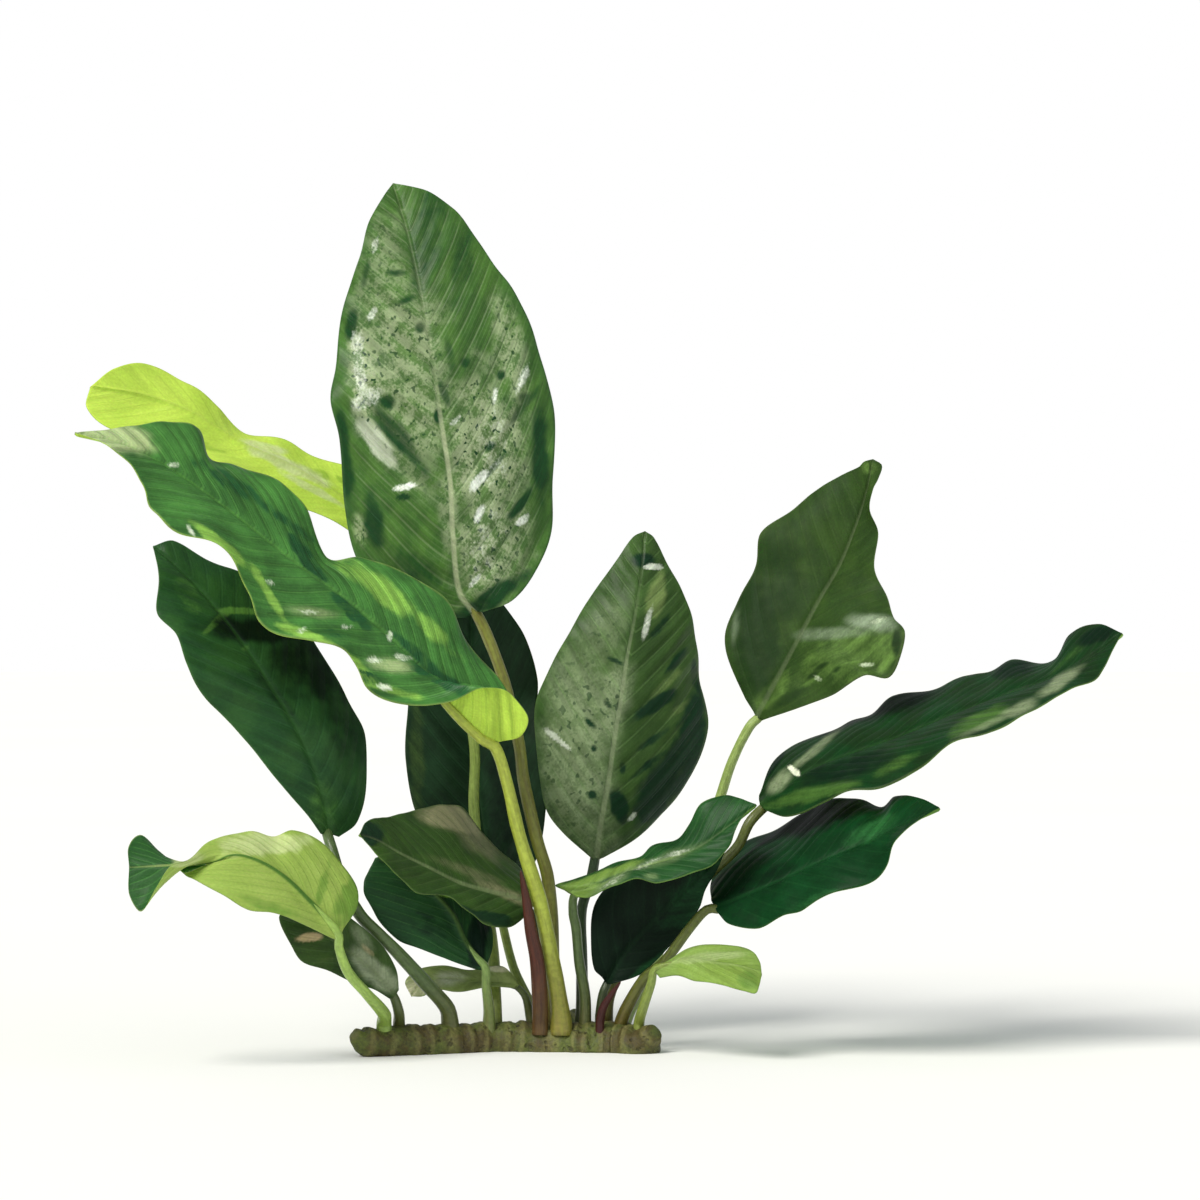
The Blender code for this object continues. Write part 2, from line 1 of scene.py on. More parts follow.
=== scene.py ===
"""The looks of an anubias plant: wavy, veined leaf blades, their stalks, two sheath leaves and the rhizome.

Places in the leaf plans are (right, up, back) in millimetres, read from the front: millimetres right of
the middle, above the foot of the stalks and behind the middle of the plant, as they appear to an eye that
looks at the plant level from EYE_DISTANCE away. The camera stands at that eye.
"""
import logging
import math
from dataclasses import dataclass
from enum import Enum

import bmesh
import bpy
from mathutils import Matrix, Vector, noise


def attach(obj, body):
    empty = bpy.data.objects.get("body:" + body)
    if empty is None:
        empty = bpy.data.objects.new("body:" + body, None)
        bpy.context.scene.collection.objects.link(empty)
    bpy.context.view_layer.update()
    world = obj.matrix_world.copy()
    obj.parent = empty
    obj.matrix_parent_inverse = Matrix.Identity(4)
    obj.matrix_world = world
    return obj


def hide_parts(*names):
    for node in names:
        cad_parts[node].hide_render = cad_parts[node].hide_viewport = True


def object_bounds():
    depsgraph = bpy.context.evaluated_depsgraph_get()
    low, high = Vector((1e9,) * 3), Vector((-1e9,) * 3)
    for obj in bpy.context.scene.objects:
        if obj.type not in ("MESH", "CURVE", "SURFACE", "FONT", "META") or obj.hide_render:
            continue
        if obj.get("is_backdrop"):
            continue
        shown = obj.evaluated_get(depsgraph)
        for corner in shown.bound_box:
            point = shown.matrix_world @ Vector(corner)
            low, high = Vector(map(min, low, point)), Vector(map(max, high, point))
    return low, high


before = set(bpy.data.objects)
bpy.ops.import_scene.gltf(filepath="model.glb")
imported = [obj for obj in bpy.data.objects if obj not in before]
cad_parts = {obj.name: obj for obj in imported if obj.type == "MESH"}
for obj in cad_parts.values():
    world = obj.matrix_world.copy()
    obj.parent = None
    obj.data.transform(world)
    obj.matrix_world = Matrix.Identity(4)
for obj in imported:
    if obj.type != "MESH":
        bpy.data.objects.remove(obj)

log = logging.getLogger("anubias")
Point = tuple[float, float, float]
Value = bpy.types.NodeSocket | float
Colour = bpy.types.NodeSocket | str

# MM is a millimetre in metres. The other lengths are in millimetres, as is all that follows.
MM = 0.001
EYE_DISTANCE = 1500.0
EYE_HEIGHT = 150.0
STALK_FOOT_HEIGHT = 10.0
WELD_DISTANCE = 0.02
VIEW_WIDTH = 400.0
SENSOR_WIDTH = 36.0


class Side(Enum):
    """The two halves of a blade, as one who walks on its upper face from stalk to tip sees them."""

    LEFT = -1
    RIGHT = 1


class MarkKind(Enum):
    """What a mark on a blade is, and the channel of the mesh's colour attribute that holds it."""

    # Painted sheen: grey where light would glance off the wet, waxy leaf.
    FILM = 0
    # Darker patches: partly the leaf's own dark flecks, partly painted shade in folds and painted shadow
    # under curls.
    DEEP = 1
    # Paler patches: mostly the leaf's own yellower tone, with some painted lit edges and highlights.
    PALE = 2
    GLINT = 3


@dataclass(frozen=True)
class Mark:
    """A soft oval on a blade, placed as it appears from the front, in millimetres.

    Its turn is the angle of its length above level, in degrees.
    """

    kind: MarkKind
    right: float
    up: float
    half_length: float
    half_breadth: float
    turn: float
    strength: float


@dataclass(frozen=True)
class LeafPlan:
    """The points that one leaf's stalk, midrib and margins run through. The margins end at the midrib's tip.

    Its dome says how far it bulges, and its margins ruffle up and down so many times along it.
    """

    name: str
    stalk: tuple[Point, ...]
    stalk_width: tuple[float, float]
    rib: tuple[Point, ...]
    left: tuple[Point, ...]
    right: tuple[Point, ...]
    dome: float
    ruffle: float
    waves: float


LEAF_PLANS = (
    LeafPlan(
        name="tall", stalk_width=(5.0, 3.8), dome=0.06, ruffle=2.0, waves=3.0,
        stalk=((-17, -1, 2), (-16, 12, 1), (-16, 32, -1), (-17.5, 48, -3), (-21, 60, -4), (-25.5, 80, -4),
            (-27, 92, -3), (-32, 113, 2), (-38, 129, 6)),
        rib=((-42, 136, 5), (-47, 143, 2), (-49, 160, -3), (-50, 180, -4), (-53, 200, -3), (-56, 222, 1),
            (-60, 244, 8), (-64, 262, 16), (-69, 279, 26)),
        left=((-45, 134, 6), (-62, 135, 9), (-75, 143, 8), (-82, 156, 5), (-85, 172, 3), (-87, 193, 2),
            (-90, 206, 0), (-88, 218, 3), (-86, 236, 6), (-80, 254, 11), (-77, 266, 16), (-72, 275, 22)),
        right=((-39, 136, 3), (-29, 140, 2), (-21, 150, 7), (-16, 163, 11), (-16, 180, 13), (-15, 202, 14),
            (-18, 216, 16), (-25, 235, 17), (-36, 253, 18), (-46, 268, 20), (-57, 276, 23))),
    LeafPlan(
        name="arching", stalk_width=(6.6, 3.8), dome=0.05, ruffle=2.2, waves=3.5,
        stalk=((-13, -1, -4), (-14, 8, -6), (-16, 19, -10), (-18, 30, -14), (-20.5, 41, -18),
            (-27, 62, -25), (-31, 79, -30), (-35, 91, -33)),
        rib=((-36, 94, -34), (-43, 100, -37), (-50, 107, -40), (-66, 124, -45), (-84, 140, -51),
            (-103, 154, -57), (-122, 169, -62), (-140, 182, -66), (-156, 191, -70), (-175, 196, -72)),
        left=((-33, 93, -35), (-26, 95, -40), (-24, 101, -44), (-31, 108, -46), (-40, 110, -47),
            (-50, 106, -46), (-66, 106, -48), (-77, 111, -52), (-85, 122, -56), (-97, 126, -62),
            (-110, 131, -68), (-119, 149, -74), (-128, 157, -78), (-141, 161, -82), (-148, 170, -83),
            (-152, 181, -81), (-157, 187, -79), (-165, 192, -76)),
        right=((-35, 97, -31), (-30, 105, -27), (-33, 114, -26), (-43, 127, -27), (-54, 141, -29),
            (-65, 148, -31), (-78, 155, -34), (-91, 155, -38), (-99, 170, -40), (-108, 179, -44),
            (-120, 186, -49), (-129, 189, -52), (-134, 197, -54), (-153, 198, -62))),
    LeafPlan(
        name="back_pale", stalk_width=(4.4, 3.0), dome=0.05, ruffle=1.5, waves=3.0,
        stalk=((-35, -1, 3), (-35, 9, 6), (-36, 25, 12), (-39, 45, 18), (-42, 70, 23), (-42, 92, 27),
            (-48, 118, 30), (-56, 140, 32), (-64, 155, 34)),
        rib=((-66, 158, 35), (-76, 166, 36), (-88, 174, 36), (-104, 184, 35), (-121, 192, 32),
            (-137, 202, 28), (-153, 208, 22), (-170, 211, 14)),
        left=((-65, 161, 36), (-67, 172, 42), (-77, 182, 45), (-96, 187, 46), (-106, 194, 44),
            (-119, 197, 42), (-128, 204, 38), (-139, 212, 34), (-150, 219, 28), (-162, 217, 20)),
        right=((-68, 156, 34), (-79, 160, 30), (-91, 167, 27), (-100, 172, 24), (-114, 178, 20),
            (-130, 185, 15), (-147, 191, 10), (-163, 196, 8), (-171, 204, 10))),
    LeafPlan(
        name="left_dark", stalk_width=(5.4, 3.6), dome=0.05, ruffle=1.5, waves=2.5,
        stalk=((-50, -1, -8), (-51, 4, -10), (-57, 11, -16), (-67, 22, -25), (-74, 29, -29), (-80, 35, -31),
            (-86, 46, -30), (-90, 59, -24)),
        rib=((-90, 62, -22), (-93, 77, -26), (-100, 95, -30), (-110, 112, -32), (-120, 127, -33),
            (-132, 142, -33), (-143, 153, -32), (-149, 158, -30)),
        left=((-93, 62, -23), (-97, 68, -28), (-109, 81, -34), (-120, 97, -38), (-133, 109, -42),
            (-138, 118, -43), (-141, 129, -43), (-147, 136, -42), (-147, 148, -38)),
        right=((-87, 61, -20), (-81, 66, -16), (-77, 81, -13), (-78, 95, -13), (-85, 107, -14),
            (-94, 124, -17), (-104, 139, -20), (-117, 147, -24), (-130, 152.5, -26), (-142, 160, -28))),
    LeafPlan(
        name="low_pale", stalk_width=(4.6, 3.0), dome=-0.05, ruffle=1.0, waves=3.0,
        stalk=((-72, -1, -19), (-72, 2, -24), (-78, 9, -37), (-84, 16, -46), (-87, 24, -51)),
        rib=((-88, 28, -53), (-92, 33, -56), (-99, 40, -60), (-105, 46, -63), (-112, 51, -66),
            (-120, 54, -68), (-130, 54, -70), (-143, 52, -72), (-157, 51, -70)),
        left=((-86, 30, -52), (-81, 38, -47), (-81, 45, -44), (-87, 54, -44), (-95, 60, -46),
            (-103, 63, -49), (-109, 61, -52), (-117, 63, -57), (-129, 60, -66), (-137, 55, -77),
            (-143, 52, -83), (-148, 43, -82), (-153, 36, -76), (-157, 42, -73)),
        right=((-89, 27, -54), (-95, 30, -60), (-102, 33, -67), (-109, 36, -72), (-117, 37, -76),
            (-127, 42, -77), (-136, 47, -75), (-142, 51, -63), (-147, 57, -60), (-153, 62, -62),
            (-157, 58, -66))),
    LeafPlan(
        name="low_grey", stalk_width=(3.8, 3.0), dome=0.05, ruffle=0.8, waves=2.0,
        stalk=((-67, -1, -14), (-67, 2, -18), (-68, 6, -22)),
        rib=((-68, 8, -24), (-73, 13, -27), (-79, 19, -30), (-87, 25, -33), (-95, 32, -36),
            (-104, 38, -38)),
        left=((-70, 7, -25), (-75, 10, -28), (-81, 12, -30), (-90, 16, -33), (-99, 19, -36),
            (-103, 25, -38), (-107, 34, -39)),
        right=((-67, 10, -24), (-68, 17, -26), (-72, 24, -32), (-79, 31, -36), (-88, 37, -38),
            (-97, 40, -38))),
    LeafPlan(
        name="back_dark", stalk_width=(3.6, 2.8), dome=0.05, ruffle=1.5, waves=2.5,
        stalk=((-21, -1, 12), (-22, 3, 15), (-25, 9, 18), (-29, 18, 22), (-33, 34, 27)),
        rib=((-34, 38, 29), (-37, 53, 34), (-40, 73, 40), (-42, 93, 44), (-43, 113, 46), (-43, 133, 48),
            (-43, 151, 52)),
        left=((-37, 40, 29), (-50, 50, 29), (-61, 68, 32), (-65, 87, 35), (-64, 104, 38), (-62, 120, 42),
            (-58, 135, 46)),
        right=((-32, 40, 29), (-22, 52, 29), (-18, 72, 30), (-18, 88, 32), (-21, 102, 34), (-21, 114, 36),
            (-25, 128, 38), (-31, 137, 42))),
    LeafPlan(
        name="centre_olive", stalk_width=(4.0, 3.0), dome=0.06, ruffle=0.9, waves=2.0,
        stalk=((-12, -1, 8), (-14, 10, 8), (-18.5, 22, 7), (-21, 31, 2)),
        rib=((-22, 38, -5), (-28, 41, -9), (-36, 43, -13), (-47, 46, -19), (-57, 51, -26), (-67, 56, -34),
            (-74, 60, -40), (-80, 62, -45)),
        left=((-23, 36, -7), (-30, 31, -13), (-39, 32, -20), (-46, 38, -25), (-51, 42, -29), (-61, 43, -36),
            (-69, 49, -42), (-75, 56, -45)),
        right=((-22, 41, -3), (-26, 50, 5), (-32, 57, 8), (-38, 63, 6), (-46, 70, 0), (-54, 71, -7),
            (-61, 70, -14), (-71, 68, -28), (-78, 66, -40))),
    LeafPlan(
        name="under_dark", stalk_width=(4.2, 3.2), dome=-0.05, ruffle=0.8, waves=2.0,
        stalk=((-37, -1, -4), (-37, 3, -5), (-38, 12, -8)),
        rib=((-39, 16, -8), (-46, 26, -8), (-50, 35, -9), (-57, 43, -12), (-65, 50, -16), (-75, 54, -21)),
        left=((-38, 18, -6), (-36, 24, -4), (-36, 32, 0), (-39, 41, 2), (-45, 48, 0), (-55, 54, -7),
            (-67, 57, -15)),
        right=((-42, 17, -10), (-54, 21, -16), (-61, 24, -18), (-68, 27, -20), (-75, 35, -22),
            (-79, 44, -23))),
    LeafPlan(
        name="ground", stalk_width=(3.2, 2.4), dome=0.05, ruffle=0.5, waves=2.0,
        stalk=((-23, -1, 5), (-23.5, 2, 5), (-25, 8, 3)),
        rib=((-27, 12, 1), (-37, 13, 0), (-47, 14, 0), (-55, 14, 0), (-60, 12, -1), (-63, 8, -2)),
        left=((-28, 11, 0), (-35, 11, -2), (-49, 10, -3), (-55, 10, -3), (-59, 8, -3)),
        right=((-28, 14, 2), (-33, 18, 2), (-45, 17, 3), (-53, 18, 3), (-61, 17, 2), (-65, 13, 0))),
    LeafPlan(
        name="diamond", stalk_width=(4.4, 3.4), dome=0.06, ruffle=1.4, waves=2.5,
        stalk=((-6, -1, 6), (-6, 8, 8), (-6, 22, 12), (-6, 37, 14), (-3, 47, 13)),
        rib=((-1, 53, 12), (0, 63, 9), (3, 80, 6), (5, 94, 5), (7, 106, 6), (9, 120, 8), (12, 136, 12),
            (14, 150, 17), (15, 163, 24)),
        left=((-3, 54, 12), (-12, 62, 11), (-18, 70, 10), (-20, 80, 10), (-21, 92, 10), (-21, 106, 10),
            (-15, 121, 12), (-5, 138, 15), (6, 154, 20), (11, 161, 22)),
        right=((1, 54, 13), (14, 62, 20), (26, 74, 25), (33, 88, 28), (36, 100, 29), (34, 112, 28),
            (33, 122, 27), (29, 138, 25), (22, 153, 24), (18, 161, 24))),
    LeafPlan(
        name="right_upper", stalk_width=(4.6, 3.2), dome=0.05, ruffle=1.4, waves=2.5,
        stalk=((8, -1, 3), (12, 8, 7), (18, 20, 12), (26, 38, 15), (34, 57, 16), (40, 74, 15), (44, 86, 13),
            (50, 98, 10)),
        rib=((52, 101, 9), (57, 110, 10), (65, 125, 12), (73, 140, 15), (80, 152, 18), (86, 167, 22),
            (89, 177, 26), (91, 187, 33)),
        left=((51, 103, 10), (48, 108, 14), (43, 121, 20), (42, 129, 22), (45, 139, 24), (52, 151, 26),
            (54, 162, 28), (64, 170, 28), (70, 176, 28), (79, 181, 28), (86, 184, 30), (88, 186, 32)),
        right=((54, 100, 8), (63, 103, 2), (74, 108, -5), (88, 115, -13), (96, 114, -15), (100, 120, -15),
            (102, 129, -12), (98, 134, -7), (95, 142, 0), (91, 151, 6), (93, 162, 11), (90, 170, 17),
            (91, 177, 23), (93, 181, 29), (94, 185, 32))),
    LeafPlan(
        name="right_long", stalk_width=(4.4, 3.4), dome=0.05, ruffle=1.3, waves=4.0,
        stalk=((2, -1, 6), (3, 8, 5), (9, 22, 2), (19, 34, -2), (30, 43, -5), (39, 51, -9), (46, 58, -9),
            (50, 66, -8)),
        rib=((53, 72, -7), (60, 77, -9), (68, 83, -11), (83, 89, -13), (100, 95, -16), (117, 102, -19),
            (133, 108, -22), (150, 114, -25), (163, 121, -28), (174, 129, -30)),
        left=((53, 75, -5), (57, 84, 5), (66, 92, 11), (74, 97, 13), (82, 100, 13), (91, 101, 11),
            (98, 107, 9), (108, 111, 7), (120, 114, 4), (130, 114, 1), (138, 120, -2), (151, 121, -8),
            (157, 128, -12), (166, 132, -20)),
        right=((55, 70, -10), (62, 68, -18), (72, 72, -26), (82, 75, -32), (92, 77, -36), (103, 83, -39),
            (110, 86, -41), (118, 92, -43), (127, 96, -45), (135, 100, -45), (149, 105, -44),
            (158, 111, -42), (166, 116, -39))),
    LeafPlan(
        name="right_low", stalk_width=(4.4, 3.2), dome=0.05, ruffle=1.2, waves=2.5,
        stalk=((7, -1, -3), (10, 6, -7), (15, 14, -11), (21, 19, -14), (31, 32, -19), (36, 37, -21)),
        rib=((38, 38, -22), (48, 42, -26), (60, 47, -30), (73, 53, -34), (87, 59, -38), (99, 65, -43),
            (113, 71, -50)),
        left=((37, 40, -19), (37, 45, -4), (41, 52, 4), (49, 60, 6), (57, 64, 4), (66, 69, 0), (76, 73, -6),
            (88, 73, -17), (94, 71, -24), (98, 75, -28), (106, 74, -38)),
        right=((39, 36, -24), (43, 32, -29), (52, 31, -36), (61, 35, -41), (68, 36, -44), (78, 43, -48),
            (91, 47, -52), (96, 52, -53), (99, 60, -53), (106, 67, -52))),
    LeafPlan(
        name="shade", stalk_width=(3.2, 2.8), dome=0.05, ruffle=0.6, waves=2.0,
        stalk=((0, -1, 0), (0, 2, -1), (1, 9, -3)),
        rib=((2, 12, -4), (8, 22, -6), (17, 32, -9), (25, 40, -12), (33, 48, -15), (42, 57, -17)),
        left=((1, 14, -5), (-2, 17, -6), (-3, 27, -7), (-2, 38, -8), (3, 45, -9), (13, 51, -12),
            (23, 56, -15), (33, 60, -17)),
        right=((4, 12, -6), (13, 15, -6), (19, 20, -7), (27, 29, -9), (33, 37, -12), (35, 43, -14),
            (39, 50, -16))),
    LeafPlan(
        name="short_glossy", stalk_width=(3.8, 3.2), dome=0.06, ruffle=0.8, waves=2.0,
        stalk=((-5, -1, 0), (-5, 8, -1), (-7, 20, -4), (-8, 31, -9), (-9, 36, -12)),
        rib=((-10, 43, -18), (0, 45, -21), (13, 51, -24), (23, 54, -26), (33, 58, -28), (43, 65, -28),
            (52, 72, -27)),
        left=((-11, 43, -17), (-15, 45, -16), (-9, 47, -15), (0, 50, -14), (13, 55, -16), (17, 59, -17),
            (26, 61, -19), (30, 65, -20), (34, 72, -21), (42, 75, -22)),
        right=((-8, 41, -20), (-3, 41, -25), (5, 45, -29), (12, 47, -32), (20, 45, -34), (29, 48, -35),
            (38, 53, -34), (43, 59, -32), (46, 66, -30))),
    LeafPlan(
        name="curled_pale", stalk_width=(3.4, 3.0), dome=-0.06, ruffle=0.5, waves=2.0,
        stalk=((13, -1, -8), (14, 3, -12), (17, 12, -18)),
        rib=((19, 16, -20), (30, 19, -26), (38, 18, -32), (47, 17, -37), (54, 15, -40)),
        left=((20, 14, -22), (26, 15, -28), (32, 13, -34), (40, 12, -40), (48, 10, -44), (52, 9, -45)),
        right=((20, 18, -19), (28, 23, -21), (36, 25, -24), (49, 24, -29), (53, 20, -34))),
)


def seen_to_place(seen: Point) -> Vector:
    """Find the place, in millimetres, of a point that appears so far right and up, and lies so far back."""
    right, up, back = seen
    nearer = (EYE_DISTANCE + back) / EYE_DISTANCE
    height = STALK_FOOT_HEIGHT + up - EYE_HEIGHT
    return Vector((right * nearer, back, EYE_HEIGHT + height * nearer))


def place_to_seen(place: Vector) -> tuple[float, float]:
    """Find how far right and up a place, in millimetres, appears from the front."""
    nearer = (EYE_DISTANCE + place.y) / EYE_DISTANCE
    return place.x / nearer, (place.z - EYE_HEIGHT) / nearer + EYE_HEIGHT - STALK_FOOT_HEIGHT


def smooth_step(low: float, high: float, value: float) -> float:
    """Rise smoothly from 0 at low to 1 at high."""
    share = min(max((value - low) / (high - low), 0.0), 1.0)
    return share * share * (3 - 2 * share)


class SmoothCurve:
    """A smooth curve through points, run along by a share of its length."""

    def __init__(self, points: list[Vector]) -> None:
        """Measure the curve that runs through these points."""
        self.points = points
        self.marks = [0.0]
        for before, after in zip(self.points, self.points[1:]):
            self.marks.append(self.marks[-1] + (after - before).length)
        self.length = self.marks[-1]

    def slope(self, index: int) -> Vector:
        """The direction in which the curve passes one of its points, per millimetre."""
        before = max(index - 1, 0)
        after = min(index + 1, len(self.points) - 1)
        return (self.points[after] - self.points[before]) / (self.marks[after] - self.marks[before])

    def at(self, share: float) -> Vector:
        """Find the point at a share of the length, from 0 to 1."""
        mark = min(max(share, 0.0), 1.0) * self.length
        index = 0
        while index < len(self.points) - 2 and mark > self.marks[index + 1]:
            index += 1
        step = self.marks[index + 1] - self.marks[index]
        t = (mark - self.marks[index]) / step
        start_weight = 2 * t ** 3 - 3 * t ** 2 + 1
        return (self.points[index] * start_weight + self.points[index + 1] * (1 - start_weight)
                + self.slope(index) * step * (t ** 3 - 2 * t ** 2 + t)
                + self.slope(index + 1) * step * (t ** 3 - t ** 2))


def srgb(colour: str) -> tuple[float, float, float, float]:
    """Turn a hex colour such as "1f4a22" into linear red, green, blue and alpha."""
    shares = [int(colour[at:at + 2], 16) / 255 for at in (0, 2, 4)]
    linear = [share / 12.92 if share <= 0.04045 else ((share + 0.055) / 1.055) ** 2.4 for share in shares]
    return (*linear, 1.0)


def add_node(tree: bpy.types.NodeTree, kind: str, settings: dict | None = None,
             links: dict | None = None) -> bpy.types.Node:
    """Add a node to a material.

    Args:
        tree: The material's node tree.
        kind: The node's type name, without the leading ShaderNode.
        settings: The node's own properties by name, and its sockets' values by name or number.
        links: The output sockets that feed its inputs, by the input's name or number.

    Returns:
        The new node.
    """
    node = tree.nodes.new("ShaderNode" + kind)
    for name, value in (settings or {}).items():
        if isinstance(name, str) and hasattr(node, name):
            setattr(node, name, value)
        else:
            node.inputs[name].default_value = value
    for name, output in (links or {}).items():
        tree.links.new(output, node.inputs[name])
    return node


class Recipe:
    """A material under construction, with the few sums that all the plant's finishes share."""

    def __init__(self, name: str) -> None:
        """Start a material that holds only its shader and its output."""
        self.material = bpy.data.materials.new(name)
        self.material.use_nodes = True
        self.tree = self.material.node_tree
        self.shader = self.tree.nodes["Principled BSDF"]

    def attribute(self, name: str, output: str = "Fac") -> bpy.types.NodeSocket:
        """Read one of the mesh's own attributes."""
        return add_node(self.tree, "Attribute", {"attribute_name": name}).outputs[output]

    def join(self, kind: str, settings: dict, *values: Value) -> bpy.types.NodeSocket:
        """Add a node whose first inputs take these values, and pass its first output on."""
        numbers = {at: value for at, value in enumerate(values) if isinstance(value, (int, float))}
        sockets = {at: value for at, value in enumerate(values) if at not in numbers}
        return add_node(self.tree, kind, {**settings, **numbers}, sockets).outputs[0]

    def maths(self, operation: str, *values: Value) -> bpy.types.NodeSocket:
        """Add a sum of one, two or three values."""
        return self.join("Math", {"operation": operation}, *values)

    def times(self, first: Value, second: Value) -> bpy.types.NodeSocket:
        """Multiply two values."""
        return self.maths("MULTIPLY", first, second)

    def times_plus(self, value: Value, factor: Value, rest: Value) -> bpy.types.NodeSocket:
        """Multiply a value by a factor and add the rest."""
        return self.maths("MULTIPLY_ADD", value, factor, rest)

    def vector(self, *values: Value) -> bpy.types.NodeSocket:
        """Join three values into one vector."""
        return self.join("CombineXYZ", {}, *values)

    def ramp(self, value: bpy.types.NodeSocket, low: float, high: float,
             start: float = 0.0, end: float = 1.0) -> bpy.types.NodeSocket:
        """Pass smoothly from start, where value is low, to end, where it is high."""
        settings = {"interpolation_type": "SMOOTHSTEP", "From Min": low, "From Max": high,
                    "To Min": start, "To Max": end}
        return self.join("MapRange", settings, value)

    def mix(self, share: Value, first: Colour, second: Colour) -> bpy.types.NodeSocket:
        """Mix two colours, each a socket or a hex value."""
        settings: dict = {"data_type": "RGBA"}
        links: dict = {}
        for at, value in ((0, share), (6, first), (7, second)):
            if isinstance(value, str):
                settings[at] = srgb(value)
            elif isinstance(value, (int, float)):
                settings[at] = value
            else:
                links[at] = value
        return add_node(self.tree, "Mix", settings, links).outputs[2]

    def shaded(self, colour: bpy.types.NodeSocket, factor: bpy.types.NodeSocket) -> bpy.types.NodeSocket:
        """Make a colour lighter or darker by a factor."""
        links = {0: colour, "Scale": factor}
        return add_node(self.tree, "VectorMath", {"operation": "SCALE"}, links).outputs[0]

    def grain(self, place: bpy.types.NodeSocket, size: float, detail: float = 2.0) -> bpy.types.NodeSocket:
        """Add cloudy noise whose blotches are about size across, in the units of place."""
        settings = {"Scale": 1.0 / size, "Detail": detail, "Roughness": 0.55}
        return add_node(self.tree, "TexNoise", settings, {"Vector": place}).outputs[0]

    def bump(self, height: bpy.types.NodeSocket, distance_mm: float) -> None:
        """Raise the surface by a height of 0 to 1 times a distance in millimetres."""
        settings = {"Strength": 1.0, "Distance": distance_mm * MM}
        node = add_node(self.tree, "Bump", settings, {"Height": height})
        self.tree.links.new(node.outputs[0], self.shader.inputs["Normal"])

    def finish(self, colour: bpy.types.NodeSocket, roughness: bpy.types.NodeSocket,
               settings: dict) -> bpy.types.Material:
        """Wire the colour and roughness to the shader and set its even values.

        Args:
            colour: The base colour.
            roughness: The roughness.
            settings: The shader's own socket values by name.

        Returns:
            The finished material.
        """
        self.tree.links.new(colour, self.shader.inputs["Base Color"])
        self.tree.links.new(roughness, self.shader.inputs["Roughness"])
        for name, value in settings.items():
            self.shader.inputs[name].default_value = value
        return self.material


